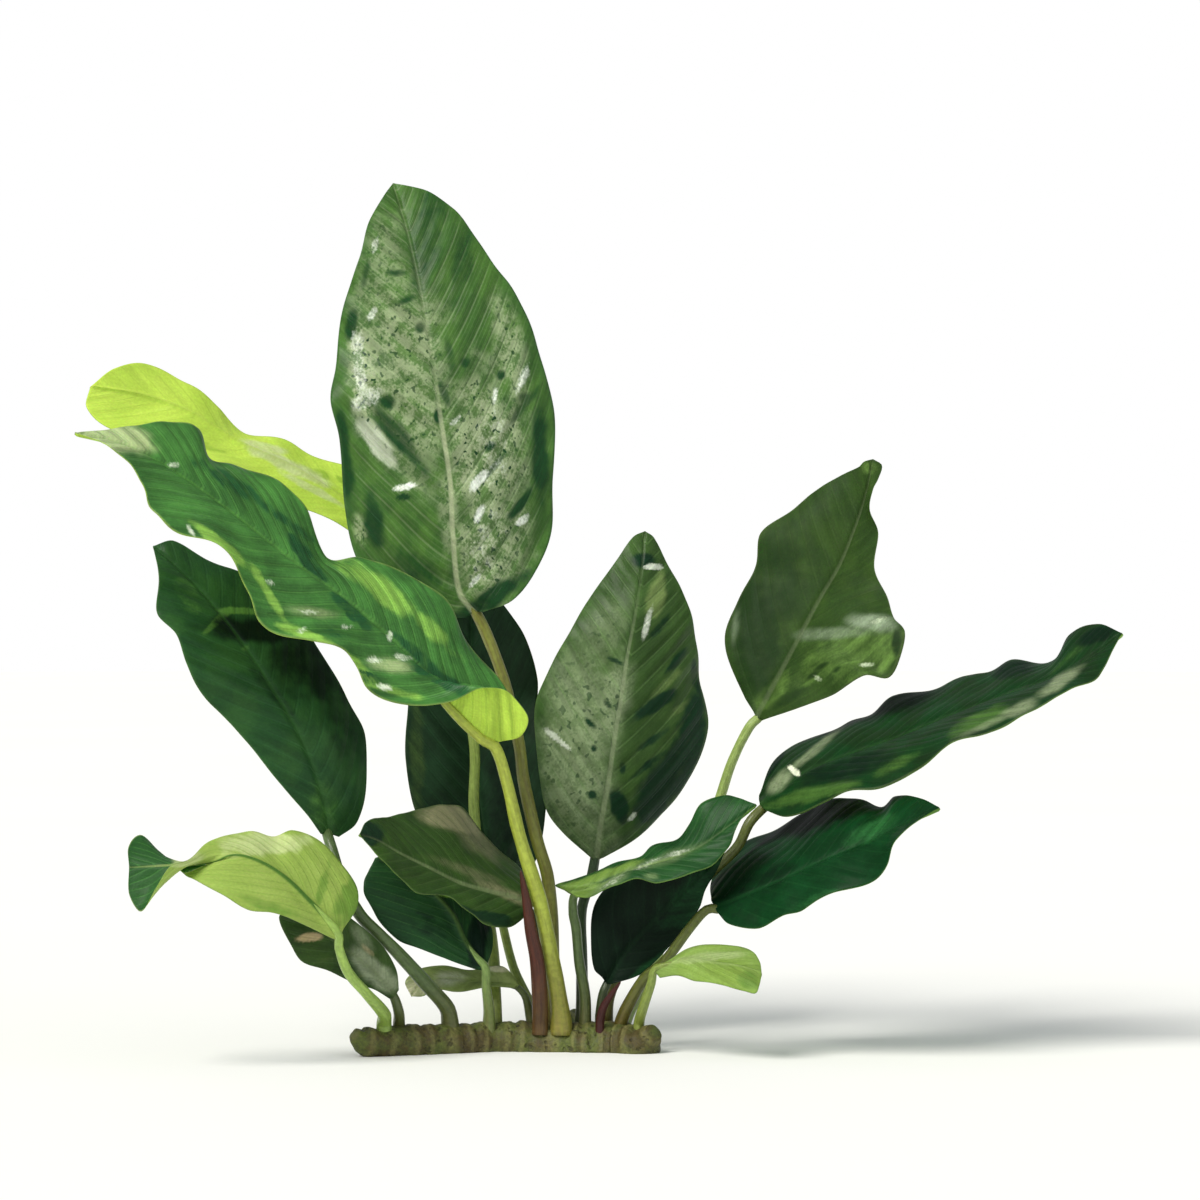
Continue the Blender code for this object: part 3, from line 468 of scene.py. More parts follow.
@dataclass(frozen=True)
class BladeSkin:
    """Living leaf skin: a waxy cuticle over green flesh, with paler veins that sink into the upper face.

    It gives the eye a soft green with darker clouds, faint slanting veins, a painted grey sheen, darker
    patches that are partly its own and partly painted shade, paler patches with some painted lit edges,
    painted glints, and a lighter, duller underside through which some light passes.
    """

    upper: str
    cloud: str
    deep: str
    pale: str
    margin: str
    under: str
    film: str = "8a9a72"
    glint: str = "d3dccb"
    vein: str = "5f8a48"
    rib: str = "8fa35c"
    under_cloud: str = "7aa044"
    under_vein: str = "5f8a3a"
    under_rib: str = "a5c060"
    rib_strength: float = 0.6
    rib_reach: float = 1.0
    vein_spacing: float = 7.0
    vein_slope: float = 1.0
    vein_strength: float = 0.25
    fine_strength: float = 0.3
    fine_veins: int = 5
    dark_and_shade_edge: float = 0.5
    speck_share: float = 0.0
    speck_size: float = 2.6
    roughness: float = 0.4
    coat: float = 0.03
    specular: float = 0.13
    glow: float = 0.1
    band_tone_and_shade: float = 0.14
    painted_sheen_grain: float = 0.3
    cloud_size: float = 14.0
    mottle_size: float = 4.5
    cell_size: float = 0.9
    streak_size: float = 2.2
    band_size: float = 5.0
    streak_shortening: float = 0.14
    band_shortening: float = 0.28
    under_offset: float = 90.0
    main_vein: tuple[float, float] = (0.15, 0.8)
    fine_vein: tuple[float, float] = (0.05, 0.45)
    rib_half_width: tuple[float, float] = (0.35, 1.0)
    rim: tuple[float, float] = (0.965, 0.998)
    quilt: float = 1.0
    relief_height: float = 0.3

    def vein_lines(self, recipe: Recipe, phase: bpy.types.NodeSocket, across: Value) -> bpy.types.NodeSocket:
        """Draw the side veins and the finer ones between them. Both fade towards the margin."""
        main_off = recipe.times(recipe.maths("PINGPONG", phase, 0.5), self.vein_spacing)
        main = recipe.ramp(main_off, *self.main_vein, 1.0, 0.0)
        fine_phase = recipe.times(phase, float(self.fine_veins))
        fine_spacing = self.vein_spacing / self.fine_veins
        fine_off = recipe.times(recipe.maths("PINGPONG", fine_phase, 0.5), fine_spacing)
        fine = recipe.ramp(fine_off, *self.fine_vein, 1.0, 0.0)
        veins = recipe.maths("MAXIMUM", main, recipe.times(fine, self.fine_strength))
        return recipe.times(veins, recipe.ramp(across, 0.75, 0.99, 1.0, 0.15))

    def rib_line(self, recipe: Recipe, out: bpy.types.NodeSocket, along: Value) -> bpy.types.NodeSocket:
        """Draw the midrib, which narrows and fades towards the tip."""
        rib_off = recipe.maths("DIVIDE", recipe.maths("ABSOLUTE", out), recipe.times_plus(along, -1.1, 1.6))
        fade = recipe.ramp(along, self.rib_reach * 0.7, self.rib_reach * 1.1, self.rib_strength, 0.1)
        return recipe.times(recipe.ramp(rib_off, *self.rib_half_width, 1.0, 0.0), fade)

    def make(self, name: str) -> bpy.types.Material:
        """Build the skin for one leaf. It reads the blade's own attributes."""
        recipe = Recipe(name)
        times, ramp, mix = recipe.times, recipe.ramp, recipe.mix
        from_stalk, out, phase, along, under = (
            recipe.attribute(label) for label in ("from_stalk", "out", "phase", "along", "under"))
        across = recipe.maths("ABSOLUTE", recipe.attribute("across"))
        marks = add_node(recipe.tree, "SeparateColor", {}, {0: recipe.attribute("marks", "Color")}).outputs
        glints = recipe.attribute("marks", "Alpha")
        flat_place = recipe.vector(from_stalk, out, times(under, self.under_offset))
        vein_place = times(phase, self.vein_spacing)

        # Noises: clouds, mottling and cells lie evenly, and streaks and bands run along the side veins.
        clouds = ramp(recipe.grain(flat_place, self.cloud_size, 4.0), 0.36, 0.64)
        mottle = recipe.grain(flat_place, self.mottle_size, 3.0)
        cells = recipe.grain(flat_place, self.cell_size)
        streaks = recipe.grain(recipe.vector(vein_place, times(out, self.streak_shortening), under),
                               self.streak_size, 3.0)
        bands = recipe.grain(recipe.vector(vein_place, times(out, self.band_shortening), under),
                             self.band_size, 4.0)

        # Marks: their edges are frayed by the noises, and the painted sheen is broken up by its own mixture
        # of them.
        broken = recipe.maths("ADD", times(mottle, 0.55), times(cells, 0.23))
        broken = ramp(recipe.maths("ADD", times(streaks, 0.22), broken), 0.4, 0.58)
        # Painted sheen, broken up by the noises.
        film = times(marks[0], ramp(broken, 0.0, 1.0, 1 - 0.85 * self.painted_sheen_grain, 1.0))
        frayed = recipe.times_plus(cells, 0.2, recipe.times_plus(bands, 0.8, -0.75))
        frayed = recipe.times_plus(mottle, 0.5, frayed)
        # Darker patches: partly the leaf's own dark flecks, partly painted shade and painted shadow.
        deep = recipe.times_plus(frayed, 1.5, marks[1])
        deep = ramp(deep, 0.5 - self.dark_and_shade_edge / 2, 0.5 + self.dark_and_shade_edge / 2)
        deep = times(deep, ramp(marks[1], 0.0, 0.25))
        # Paler patches: mostly the leaf's own tone, with some painted lit edges and highlights.
        pale = ramp(recipe.maths("ADD", marks[2], frayed), 0.1, 1.0)
        crumbs = recipe.times_plus(cells, 0.7, recipe.times_plus(mottle, 0.9, -0.8))
        gleam = times(ramp(recipe.maths("ADD", glints, crumbs), 0.2, 1.0, 0.0, 0.95), ramp(glints, 0.0, 0.3))
        specks = ramp(recipe.grain(flat_place, self.speck_size, 1.0), 0.62, 0.68, 0.0, self.speck_share)
        specks = times(specks, marks[0])
        veins = self.vein_lines(recipe, phase, across)
        rib = self.rib_line(recipe, out, along)
        vein_share = times(veins, self.vein_strength)
        rim = times(ramp(across, *self.rim), 0.45)

        colour = mix(clouds, self.upper, self.cloud)
        for share, cover in ((pale, self.pale), (film, self.film), (vein_share, self.vein),
                             (specks, self.deep), (deep, self.deep), (rib, self.rib), (rim, self.margin),
                             (gleam, self.glint)):
            colour = mix(share, colour, cover)
        below = mix(clouds, self.under, self.under_cloud)
        for share, cover in ((pale, self.pale), (vein_share, self.under_vein), (deep, self.deep),
                             (rib, self.under_rib)):
            below = mix(share, below, cover)
        # Bands along the side veins, lighter and darker: partly the leaf's own streaky colour, partly painted
        # light and shade on the wrinkles between the veins.
        band_shade = ramp(bands, 0.34, 0.66, 1 - self.band_tone_and_shade, 1 + self.band_tone_and_shade)
        shade = times(ramp(cells, 0.35, 0.7, 0.93, 1.05), band_shade)
        colour = recipe.shaded(mix(under, colour, below), shade)

        wax = recipe.times_plus(under, 0.16, recipe.times_plus(mottle, 0.16, self.roughness - 0.08))
        relief = recipe.times_plus(cells, 0.12, times(mottle, 0.5))
        relief = recipe.times_plus(veins, -0.3 * self.quilt, relief)
        recipe.bump(recipe.times_plus(bands, 0.9 * self.quilt, relief), self.relief_height)
        return recipe.finish(colour, wax, {
            "Metallic": 0.0, "IOR": 1.45, "Specular IOR Level": self.specular, "Coat Weight": self.coat,
            "Coat Roughness": 0.2, "Coat IOR": 1.4, "Subsurface Weight": self.glow,
            "Subsurface Scale": 1.0, "Subsurface Radius": (0.0008, 0.0016, 0.0004)})


@dataclass(frozen=True)
class StalkSkin:
    """Firm, fleshy stalk skin: smooth and faintly ribbed along its length, paler or redder at the foot.

    It gives the eye a satin green with fine streaks along the stalk.
    """

    upper: str
    foot: str
    streak: str
    foot_reach: float = 30.0
    roughness: float = 0.36
    glow: float = 0.15
    streak_shortening: float = 0.035
    streak_strength: float = 0.55
    spot_shortening: float = 0.4
    relief_height: float = 0.12

    def make(self, name: str) -> bpy.types.Material:
        """Build the skin for one stalk. It reads the stalk's own attributes."""
        recipe = Recipe(name)
        from_foot = recipe.attribute("from_foot")
        around = recipe.attribute("around")
        ring = recipe.maths("COSINE", around), recipe.maths("SINE", around)
        streak_place = recipe.vector(*ring, recipe.times(from_foot, self.streak_shortening))
        spot_place = recipe.vector(*ring, recipe.times(from_foot, self.spot_shortening))
        streaks = recipe.ramp(recipe.grain(streak_place, 0.45, 4.0), 0.38, 0.66)
        spots = recipe.grain(spot_place, 0.7, 3.0)
        colour = recipe.mix(recipe.ramp(from_foot, 0.0, self.foot_reach, 1.0, 0.0), self.upper, self.foot)
        colour = recipe.mix(recipe.times(streaks, self.streak_strength), colour, self.streak)
        colour = recipe.shaded(colour, recipe.ramp(spots, 0.3, 0.7, 0.85, 1.12))
        recipe.bump(recipe.maths("ADD", streaks, recipe.times(spots, 0.4)), self.relief_height)
        roughness = recipe.ramp(spots, 0.3, 0.7, self.roughness - 0.06, self.roughness + 0.08)
        return recipe.finish(colour, roughness, {
            "IOR": 1.45, "Specular IOR Level": 0.4, "Coat Weight": 0.2, "Coat Roughness": 0.2,
            "Subsurface Weight": self.glow, "Subsurface Scale": 1.0,
            "Subsurface Radius": (0.0012, 0.0018, 0.0005)})


@dataclass(frozen=True)
class RhizomeSkin:
    """Old creeping stem: green-brown, corky skin with pale rings where leaves have fallen."""

    green: str = "56602a"
    brown: str = "4a4220"
    scar: str = "7d7a48"
    dark: str = "28240f"
    roughness: float = 0.55
    blotch_size: float = 9.0
    grain_size: float = 1.1
    pit_size: float = 2.6
    scar_strength: float = 0.4
    pit_strength: float = 0.7
    relief_height: float = 0.5

    def make(self, name: str) -> bpy.types.Material:
        """Build the skin, which reads the rhizome's own attributes and Object coordinates."""
        recipe = Recipe(name)
        place = add_node(recipe.tree, "TexCoord").outputs["Object"]
        ring = recipe.attribute("ring")
        blotches = recipe.ramp(recipe.grain(place, self.blotch_size * MM, 4.0), 0.38, 0.62)
        fine = recipe.grain(place, self.grain_size * MM, 4.0)
        pits = recipe.ramp(recipe.grain(place, self.pit_size * MM), 0.30, 0.42, 1.0, 0.0)
        colour = recipe.mix(blotches, self.green, self.brown)
        colour = recipe.mix(recipe.times(recipe.ramp(ring, 0.55, 1.0), self.scar_strength), colour, self.scar)
        colour = recipe.mix(recipe.times(pits, self.pit_strength), colour, self.dark)
        colour = recipe.shaded(colour, recipe.ramp(fine, 0.3, 0.7, 0.72, 1.2))
        recipe.bump(recipe.maths("SUBTRACT", fine, recipe.times(pits, 0.6)), self.relief_height)
        roughness = recipe.ramp(fine, 0.3, 0.7, self.roughness - 0.1, self.roughness + 0.15)
        return recipe.finish(colour, roughness, {"IOR": 1.45, "Specular IOR Level": 0.4})


@dataclass(frozen=True)
class FloorPaint:
    """Plain matt white studio floor."""

    white: str = "fafaf8"
    greyer: str = "f4f4f2"
    patch_size: float = 0.4

    def make(self, name: str) -> bpy.types.Material:
        """Build the paint with a faint unevenness."""
        recipe = Recipe(name)
        place = add_node(recipe.tree, "TexCoord").outputs["Object"]
        grain = recipe.grain(place, self.patch_size)
        colour = recipe.mix(recipe.ramp(grain, 0.3, 0.7, 0.0, 0.3), self.white, self.greyer)
        return recipe.finish(colour, recipe.ramp(grain, 0.3, 0.7, 0.85, 0.95), {"Specular IOR Level": 0.1})


def side_of(across: float) -> Side:
    """Find the half of a blade that a share across it, from -1 to 1, lies in."""
    return Side.RIGHT if across > 0 else Side.LEFT


def double_sheet(sheet: bmesh.types.BMesh, under: bmesh.types.BMLayerItem) -> None:
    """Double a flat grid into two faces that are joined all round, and set under to 1 on the lower one."""
    doubled = bmesh.ops.extrude_face_region(sheet, geom=sheet.faces[:], use_keep_orig=True)
    for part in doubled["geom"]:
        if isinstance(part, bmesh.types.BMVert):
            part[under] = 1.0


def mesh_of(form: bmesh.types.BMesh, name: str) -> bpy.types.Mesh:
    """Turn a modelled form into a mesh, and free the form."""
    mesh = bpy.data.meshes.new(name)
    form.to_mesh(mesh)
    form.free()
    return mesh


def finish_sheet(sheet: bmesh.types.BMesh, name: str) -> bpy.types.Mesh:
    """Weld a doubled sheet where its points meet, shade it smooth and make its mesh."""
    bmesh.ops.remove_doubles(sheet, verts=sheet.verts, dist=WELD_DISTANCE * MM)
    bmesh.ops.recalc_face_normals(sheet, faces=sheet.faces)
    for face in sheet.faces:
        face.smooth = True
    return mesh_of(sheet, name)


def add_object(name: str, data: bpy.types.ID) -> bpy.types.Object:
    """Add an object to the scene."""
    thing = bpy.data.objects.new(name, data)
    bpy.context.scene.collection.objects.link(thing)
    return thing


@dataclass(frozen=True)
class Row:
    """One crossing of a blade from margin to margin."""

    along: float
    rib: Vector
    margins: dict[Side, Vector]
    up: Vector
    half_widths: dict[Side, float]
    from_stalk: float


@dataclass
class BladeShape:
    """The form of one blade: its plan, and the relief of its midrib, veins and swellings."""

    plan: LeafPlan
    skin: BladeSkin
    rim_thickness: float = 0.35
    flesh_thickness: float = 0.75
    groove_depth: float = 0.45
    keel_height: float = 1.3
    rib_width_at_stalk: float = 1.7
    rib_width_at_tip: float = 0.5
    quilt_height: float = 0.16
    swell_height: float = 0.25
    swell_veins: float = 2.6
    ripple_height: float = 0.5
    ripple_length: float = 8.0
    buckle_height: float = 1.3
    buckle_size: float = 20.0
    rib_probe: float = 0.02
    ruffle_fade: float = 0.2
    side_stagger: float = 0.25
    side_stagger_width: float = 1.5
    vein_bend: float = 0.008
    keel_taper: float = 0.85
    flattening: float = 2.5

    def __post_init__(self) -> None:
        """Lay the midrib and the margins."""
        plan = self.plan
        tip = plan.rib[-1:]
        self.rib = SmoothCurve([seen_to_place(point) for point in plan.rib])
        self.margins = {side: SmoothCurve([seen_to_place(point) for point in margin + tip])
                        for side, margin in ((Side.LEFT, plan.left), (Side.RIGHT, plan.right))}
        self.rows: dict[float, Row] = {}

    def row(self, along: float) -> Row:
        """Find the crossing at a share of the blade's length."""
        if along not in self.rows:
            rib = self.rib.at(along)
            margins = {side: curve.at(along) for side, curve in self.margins.items()}
            ahead = self.rib.at(along + self.rib_probe) - self.rib.at(along - self.rib_probe)
            up = (margins[Side.RIGHT] - margins[Side.LEFT]).cross(ahead)
            if along >= 1.0:
                up = self.row(1.0 - self.rib_probe).up.copy()
            widths = {side: (margin - rib).length for side, margin in margins.items()}
            self.rows[along] = Row(along, rib, margins, up.normalized(), widths, along * self.rib.length)
        return self.rows[along]

    def out(self, row: Row, across: float) -> float:
        """How far out from the midrib a point lies, in millimetres."""
        return abs(across) * row.half_widths[side_of(across)]

    def phase(self, row: Row, across: float) -> float:
        """Count the side veins from the stalk up to a point. Whole numbers lie on a vein."""
        out = self.out(row, across)
        stagger = self.side_stagger * side_of(across).value * smooth_step(0.0, self.side_stagger_width, out)
        reach = row.from_stalk - self.skin.vein_slope * out * (1 + self.vein_bend * out)
        return reach / self.skin.vein_spacing + stagger

    def rib_width(self, along: float) -> float:
        """The midrib's half width."""
        return self.rib_width_at_stalk + (self.rib_width_at_tip - self.rib_width_at_stalk) * along

    def relief(self, row: Row, across: float) -> float:
        """How far the upper face stands above the plain curved sheet, in millimetres."""
        reach = abs(across)
        out = self.out(row, across)
        side = side_of(across).value
        fade = min(1.0, row.along / self.ruffle_fade, (1 - row.along) / self.ruffle_fade)
        crown = self.plan.dome * row.half_widths[Side(side)] * 4 * reach * (1 - reach)
        turn = 2 * math.pi * self.plan.waves * row.along + side * math.pi / 2
        ruffle = self.plan.ruffle * reach ** 2 * fade * math.sin(turn)
        phase = self.phase(row, across)
        # The swellings between the veins fade out at the midrib and at the margin.
        quilt = -self.quilt_height * math.cos(2 * math.pi * phase) * min(1.0, 3 * reach, 4 * (1 - reach))
        swell = self.swell_height * math.sin(2 * math.pi * phase / self.swell_veins + side) * reach * fade
        folds = self.skin.quilt * (quilt + swell)
        edge_spot = Vector((row.from_stalk / self.ripple_length, 5.0 * side, len(self.plan.name)))
        ripple = self.ripple_height * reach ** 4 * fade * noise.noise(edge_spot)
        spot = row.rib.lerp(row.margins[Side(side)], reach) / self.buckle_size
        buckle = self.buckle_height * noise.noise(spot) * fade * min(1.0, self.flattening * reach)
        groove = -self.groove_depth * math.exp(-(out / self.rib_width(row.along)) ** 2)
        return crown + ruffle + folds + ripple + buckle + groove

    def thickness(self, row: Row, across: float) -> float:
        """How far the underside lies below the upper face, in millimetres."""
        reach = abs(across)
        flesh = self.rim_thickness + (self.flesh_thickness - self.rim_thickness) * (1 - reach ** 3)
        keel = self.keel_height * (1 - self.keel_taper * row.along)
        return flesh + keel * math.exp(-(self.out(row, across) / self.rib_width(row.along)) ** 2)

    def point(self, along: float, across: float, under: bool) -> Vector:
        """Find a point of the upper face or the underside, in millimetres."""
        row = self.row(along)
        lift = self.relief(row, across) if along < 1.0 else 0.0
        if under:
            lift -= self.thickness(row, across)
        return row.rib.lerp(row.margins[side_of(across)], abs(across)) + row.up * lift


@dataclass
class Blade:
    """One leaf blade as a closed, veined sheet."""

    shape: BladeShape
    marks: tuple[Mark, ...]
    slot: str
    spacing: float = 0.8
    columns_least: int = 28
    width_probes: int = 20
    middle_crowding: float = 1.35
    mark_wobble: float = 0.35
    mark_wobble_size: float = 9.0
    mark_breadth_least: float = 1.1
    mark_edge: tuple[float, float] = (1.35, 0.45)

    def mark_weights(self, place: Vector) -> list[float]:
        """How strongly each kind of mark shows at a place."""
        right, up = place_to_seen(place)
        wobble = self.mark_wobble * noise.noise(place / self.mark_wobble_size)
        wobble += 0.5 * self.mark_wobble * noise.noise(place * 2.7 / self.mark_wobble_size)
        weights = [0.0] * len(MarkKind)
        for mark in self.marks:
            turn = math.radians(mark.turn)
            away = (right - mark.right, up - mark.up)
            length = (away[0] * math.cos(turn) + away[1] * math.sin(turn)) / mark.half_length
            breadth = away[1] * math.cos(turn) - away[0] * math.sin(turn)
            breadth /= max(mark.half_breadth, self.mark_breadth_least)
            inside = smooth_step(*self.mark_edge, math.hypot(length, breadth) + wobble)
            at = mark.kind.value
            weights[at] = max(weights[at], inside * mark.strength)
        return weights

    def make_mesh(self) -> bpy.types.Mesh:
        """Model the sheet: a grid, doubled to close it, and laid on the blade's two faces.

        The marks lie on the face that is turned to the front.
        """
        shape = self.shape
        width = max(sum(shape.row(step / self.width_probes).half_widths.values())
                    for step in range(self.width_probes))
        columns = max(self.columns_least, 2 * round(width / self.spacing / 2))
        rows = round(shape.rib.length / self.spacing)
        sheet = bmesh.new()
        bmesh.ops.create_grid(sheet, x_segments=columns, y_segments=rows, size=1.0)
        names = ("along", "across", "under", "out", "from_stalk", "phase")
        layers = {name: sheet.verts.layers.float.new(name) for name in names}
        marks = sheet.verts.layers.float_color.new("marks")
        for vertex in sheet.verts:
            vertex[marks] = [0.0] * len(MarkKind)
            vertex[layers["along"]] = min((vertex.co.y + 1) / 2, 1.0)
            side = side_of(vertex.co.x).value
            vertex[layers["across"]] = side * abs(vertex.co.x) ** self.middle_crowding
        double_sheet(sheet, layers["under"])
        for vertex in sheet.verts:
            along = vertex[layers["along"]]
            along = 1.0 if along > 0.9999 else along
            across = vertex[layers["across"]]
            row = shape.row(along)
            under = vertex[layers["under"]] > 0.5
            place = shape.point(along, across, under)
            vertex[layers["out"]] = shape.out(row, across) * side_of(across).value
            vertex[layers["from_stalk"]] = row.from_stalk
            vertex[layers["phase"]] = shape.phase(row, across)
            if under == (row.up.y > 0):
                vertex[marks] = self.mark_weights(place)
            vertex.co = place * MM
        return finish_sheet(sheet, "leaf_" + shape.plan.name)

    def build(self) -> bpy.types.Object:
        """Model and dress the blade, and put it in the place of its plain solid."""
        name = self.shape.plan.name
        skin = self.shape.skin.make("leaf_skin_" + name)
        return add_piece(self.make_mesh(), skin, "leaf_" + name)


def add_piece(mesh: bpy.types.Mesh, material: bpy.types.Material, node: str) -> bpy.types.Object:
    """Add a finished piece that stands for one plain solid.

    Args:
        mesh: The piece's mesh, with its place in it.
        material: Its finish.
        node: The name of the solid that it stands for.

    Returns:
        The new object.
    """
    mesh.materials.append(material)
    piece = add_object("fine_" + node, mesh)
    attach(piece, "root")
    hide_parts(node)
    log.info("%s: %d faces", piece.name, len(mesh.polygons))
    return piece


def sweep(points: list[Vector], radii: list[float], sides: int) -> bmesh.types.BMesh:
    """Wrap a grid round a path to make a stem with closed ends.

    Args:
        points: The path, in millimetres.
        radii: The stem's radius at each of them.
        sides: How many faces it has around.

    Returns:
        A new mesh whose vertices hold from_foot, in millimetres, and around, in radians.
    """
    rows = len(points) - 1
    stem = bmesh.new()
    bmesh.ops.create_grid(stem, x_segments=sides, y_segments=rows, size=1.0)
    from_foot = stem.verts.layers.float.new("from_foot")
    around = stem.verts.layers.float.new("around")
    lengths = [0.0]
    for before, after in zip(points, points[1:]):
        lengths.append(lengths[-1] + (after - before).length)
    side_axes = []
    aside = Vector((1, 0, 0))
    for at in range(rows + 1):
        ahead = (points[min(at + 1, rows)] - points[max(at - 1, 0)]).normalized()
        aside = (aside - ahead * aside.dot(ahead)).normalized()
        side_axes.append((aside.copy(), ahead.cross(aside)))
    for vertex in stem.verts:
        at = round((vertex.co.y + 1) / 2 * rows)
        turn = math.pi * vertex.co.x
        first, second = side_axes[at]
        vertex[from_foot] = lengths[at]
        vertex[around] = turn
        offset = first * math.cos(turn) + second * math.sin(turn)
        vertex.co = (points[at] + offset * radii[at]) * MM
    bmesh.ops.remove_doubles(stem, verts=stem.verts, dist=WELD_DISTANCE * MM)
    open_edges = [edge for edge in stem.edges if edge.is_boundary]
    bmesh.ops.holes_fill(stem, edges=open_edges, sides=0)
    bmesh.ops.recalc_face_normals(stem, faces=stem.faces)
    for face in stem.faces:
        face.smooth = len(face.verts) <= 4
    return stem


@dataclass
class Stalk:
    """One leaf stalk, from inside the rhizome up into the midrib under its blade."""

    shape: BladeShape
    skin: StalkSkin
    slot: str
    rooting: float = 4.0
    flare: float = 0.14
    flare_reach: float = 6.0
    taper_power: float = 0.7
    step: float = 1.8
    sides: int = 20
    joining: tuple[float, ...] = (0.015, 0.1, 0.2, 0.3)
    keel_depth: float = 0.55
    sink_depth: float = 0.62
    end_radius: float = 0.45
    lumpiness: float = 0.09
    lump_size: float = 11.0

    def build(self) -> bpy.types.Object:
        """Model and dress the stalk, and put it in the place of its plain solid."""
        plan = self.shape.plan
        foot = seen_to_place(plan.stalk[0])
        route = [foot - Vector((0, 0, self.rooting))] + [seen_to_place(point) for point in plan.stalk]
        at_foot, at_blade = plan.stalk_width
        stem_length = SmoothCurve(route).length
        for along in self.joining:
            row = self.shape.row(along)
            below = self.shape.thickness(row, 0.0) - self.shape.relief(row, 0.0)
            sink = at_blade / 2 * (1 - along / self.joining[-1]) * self.sink_depth
            route.append(row.rib - row.up * (below * self.keel_depth + sink))
        path = SmoothCurve(route)
        steps = round(path.length / self.step)
        points = []
        radii = []
        for number in range(steps + 1):
            share = number / steps
            reach = path.length * share
            points.append(path.at(share))
            taper = min(reach / stem_length, 1.0) ** self.taper_power
            radius = (at_foot + (at_blade - at_foot) * taper) / 2
            past = smooth_step(stem_length, path.length, reach)
            radius += (self.end_radius - radius) * past
            radius *= 1 + self.flare * math.exp(-max(reach - self.rooting, 0) / self.flare_reach)
            radius *= 1 + self.lumpiness * noise.noise(points[-1] / self.lump_size)
            radii.append(radius)
        node = "stalk_" + plan.name
        mesh = mesh_of(sweep(points, radii, self.sides), node)
        return add_piece(mesh, self.skin.make("stalk_skin_" + plan.name), node)


@dataclass
class SheathLeaf:
    """A narrow scale with a hollow inner side that stands beside the stalks."""

    name: str
    spine: tuple[Point, ...]
    width: float
    skin: StalkSkin
    slot: str
    wrap: float = 1.9
    thickness: float = 0.5
    rows: int = 46
    columns: int = 18
    rooting: float = 4.0
    tip_share: float = 0.06
    taper_power: float = 2.2
    unrolling: float = 0.5
    probe: float = 0.02
    radius_least: float = 0.05

    def build(self) -> bpy.types.Object:
        """Model and dress the scale, and put it in the place of its plain solid."""
        points = [seen_to_place(point) for point in self.spine]
        path = SmoothCurve([points[0] - Vector((0, 0, self.rooting))] + points)
        sheet = bmesh.new()
        bmesh.ops.create_grid(sheet, x_segments=self.columns, y_segments=self.rows, size=1.0)
        from_foot, around, under = (
            sheet.verts.layers.float.new(name) for name in ("from_foot", "around", "under"))
        for vertex in sheet.verts:
            vertex[from_foot] = (vertex.co.y + 1) / 2 * path.length
            vertex[around] = vertex.co.x * self.wrap
        double_sheet(sheet, under)
        for vertex in sheet.verts:
            share = vertex[from_foot] / path.length
            ahead = (path.at(share + self.probe) - path.at(share - self.probe)).normalized()
            aside = Vector((1, 0, 0))
            aside = (aside - ahead * aside.dot(ahead)).normalized()
            front = aside.cross(ahead)
            taper = math.sqrt(max(1 - share ** self.taper_power, 0.0))
            radius = self.width / 2 * max(self.tip_share, taper)
            radius -= self.thickness * vertex[under] * min(1.0, 4 * (1 - share) + 0.1)
            turn = vertex[around] * (1 - self.unrolling * share)
            offset = aside * math.sin(turn) + front * math.cos(turn)
            vertex.co = (path.at(share) + offset * max(radius, self.radius_least)) * MM
        node = "sheath_" + self.name
        mesh = finish_sheet(sheet, node)
        return add_piece(mesh, self.skin.make("sheath_skin_" + self.name), node)


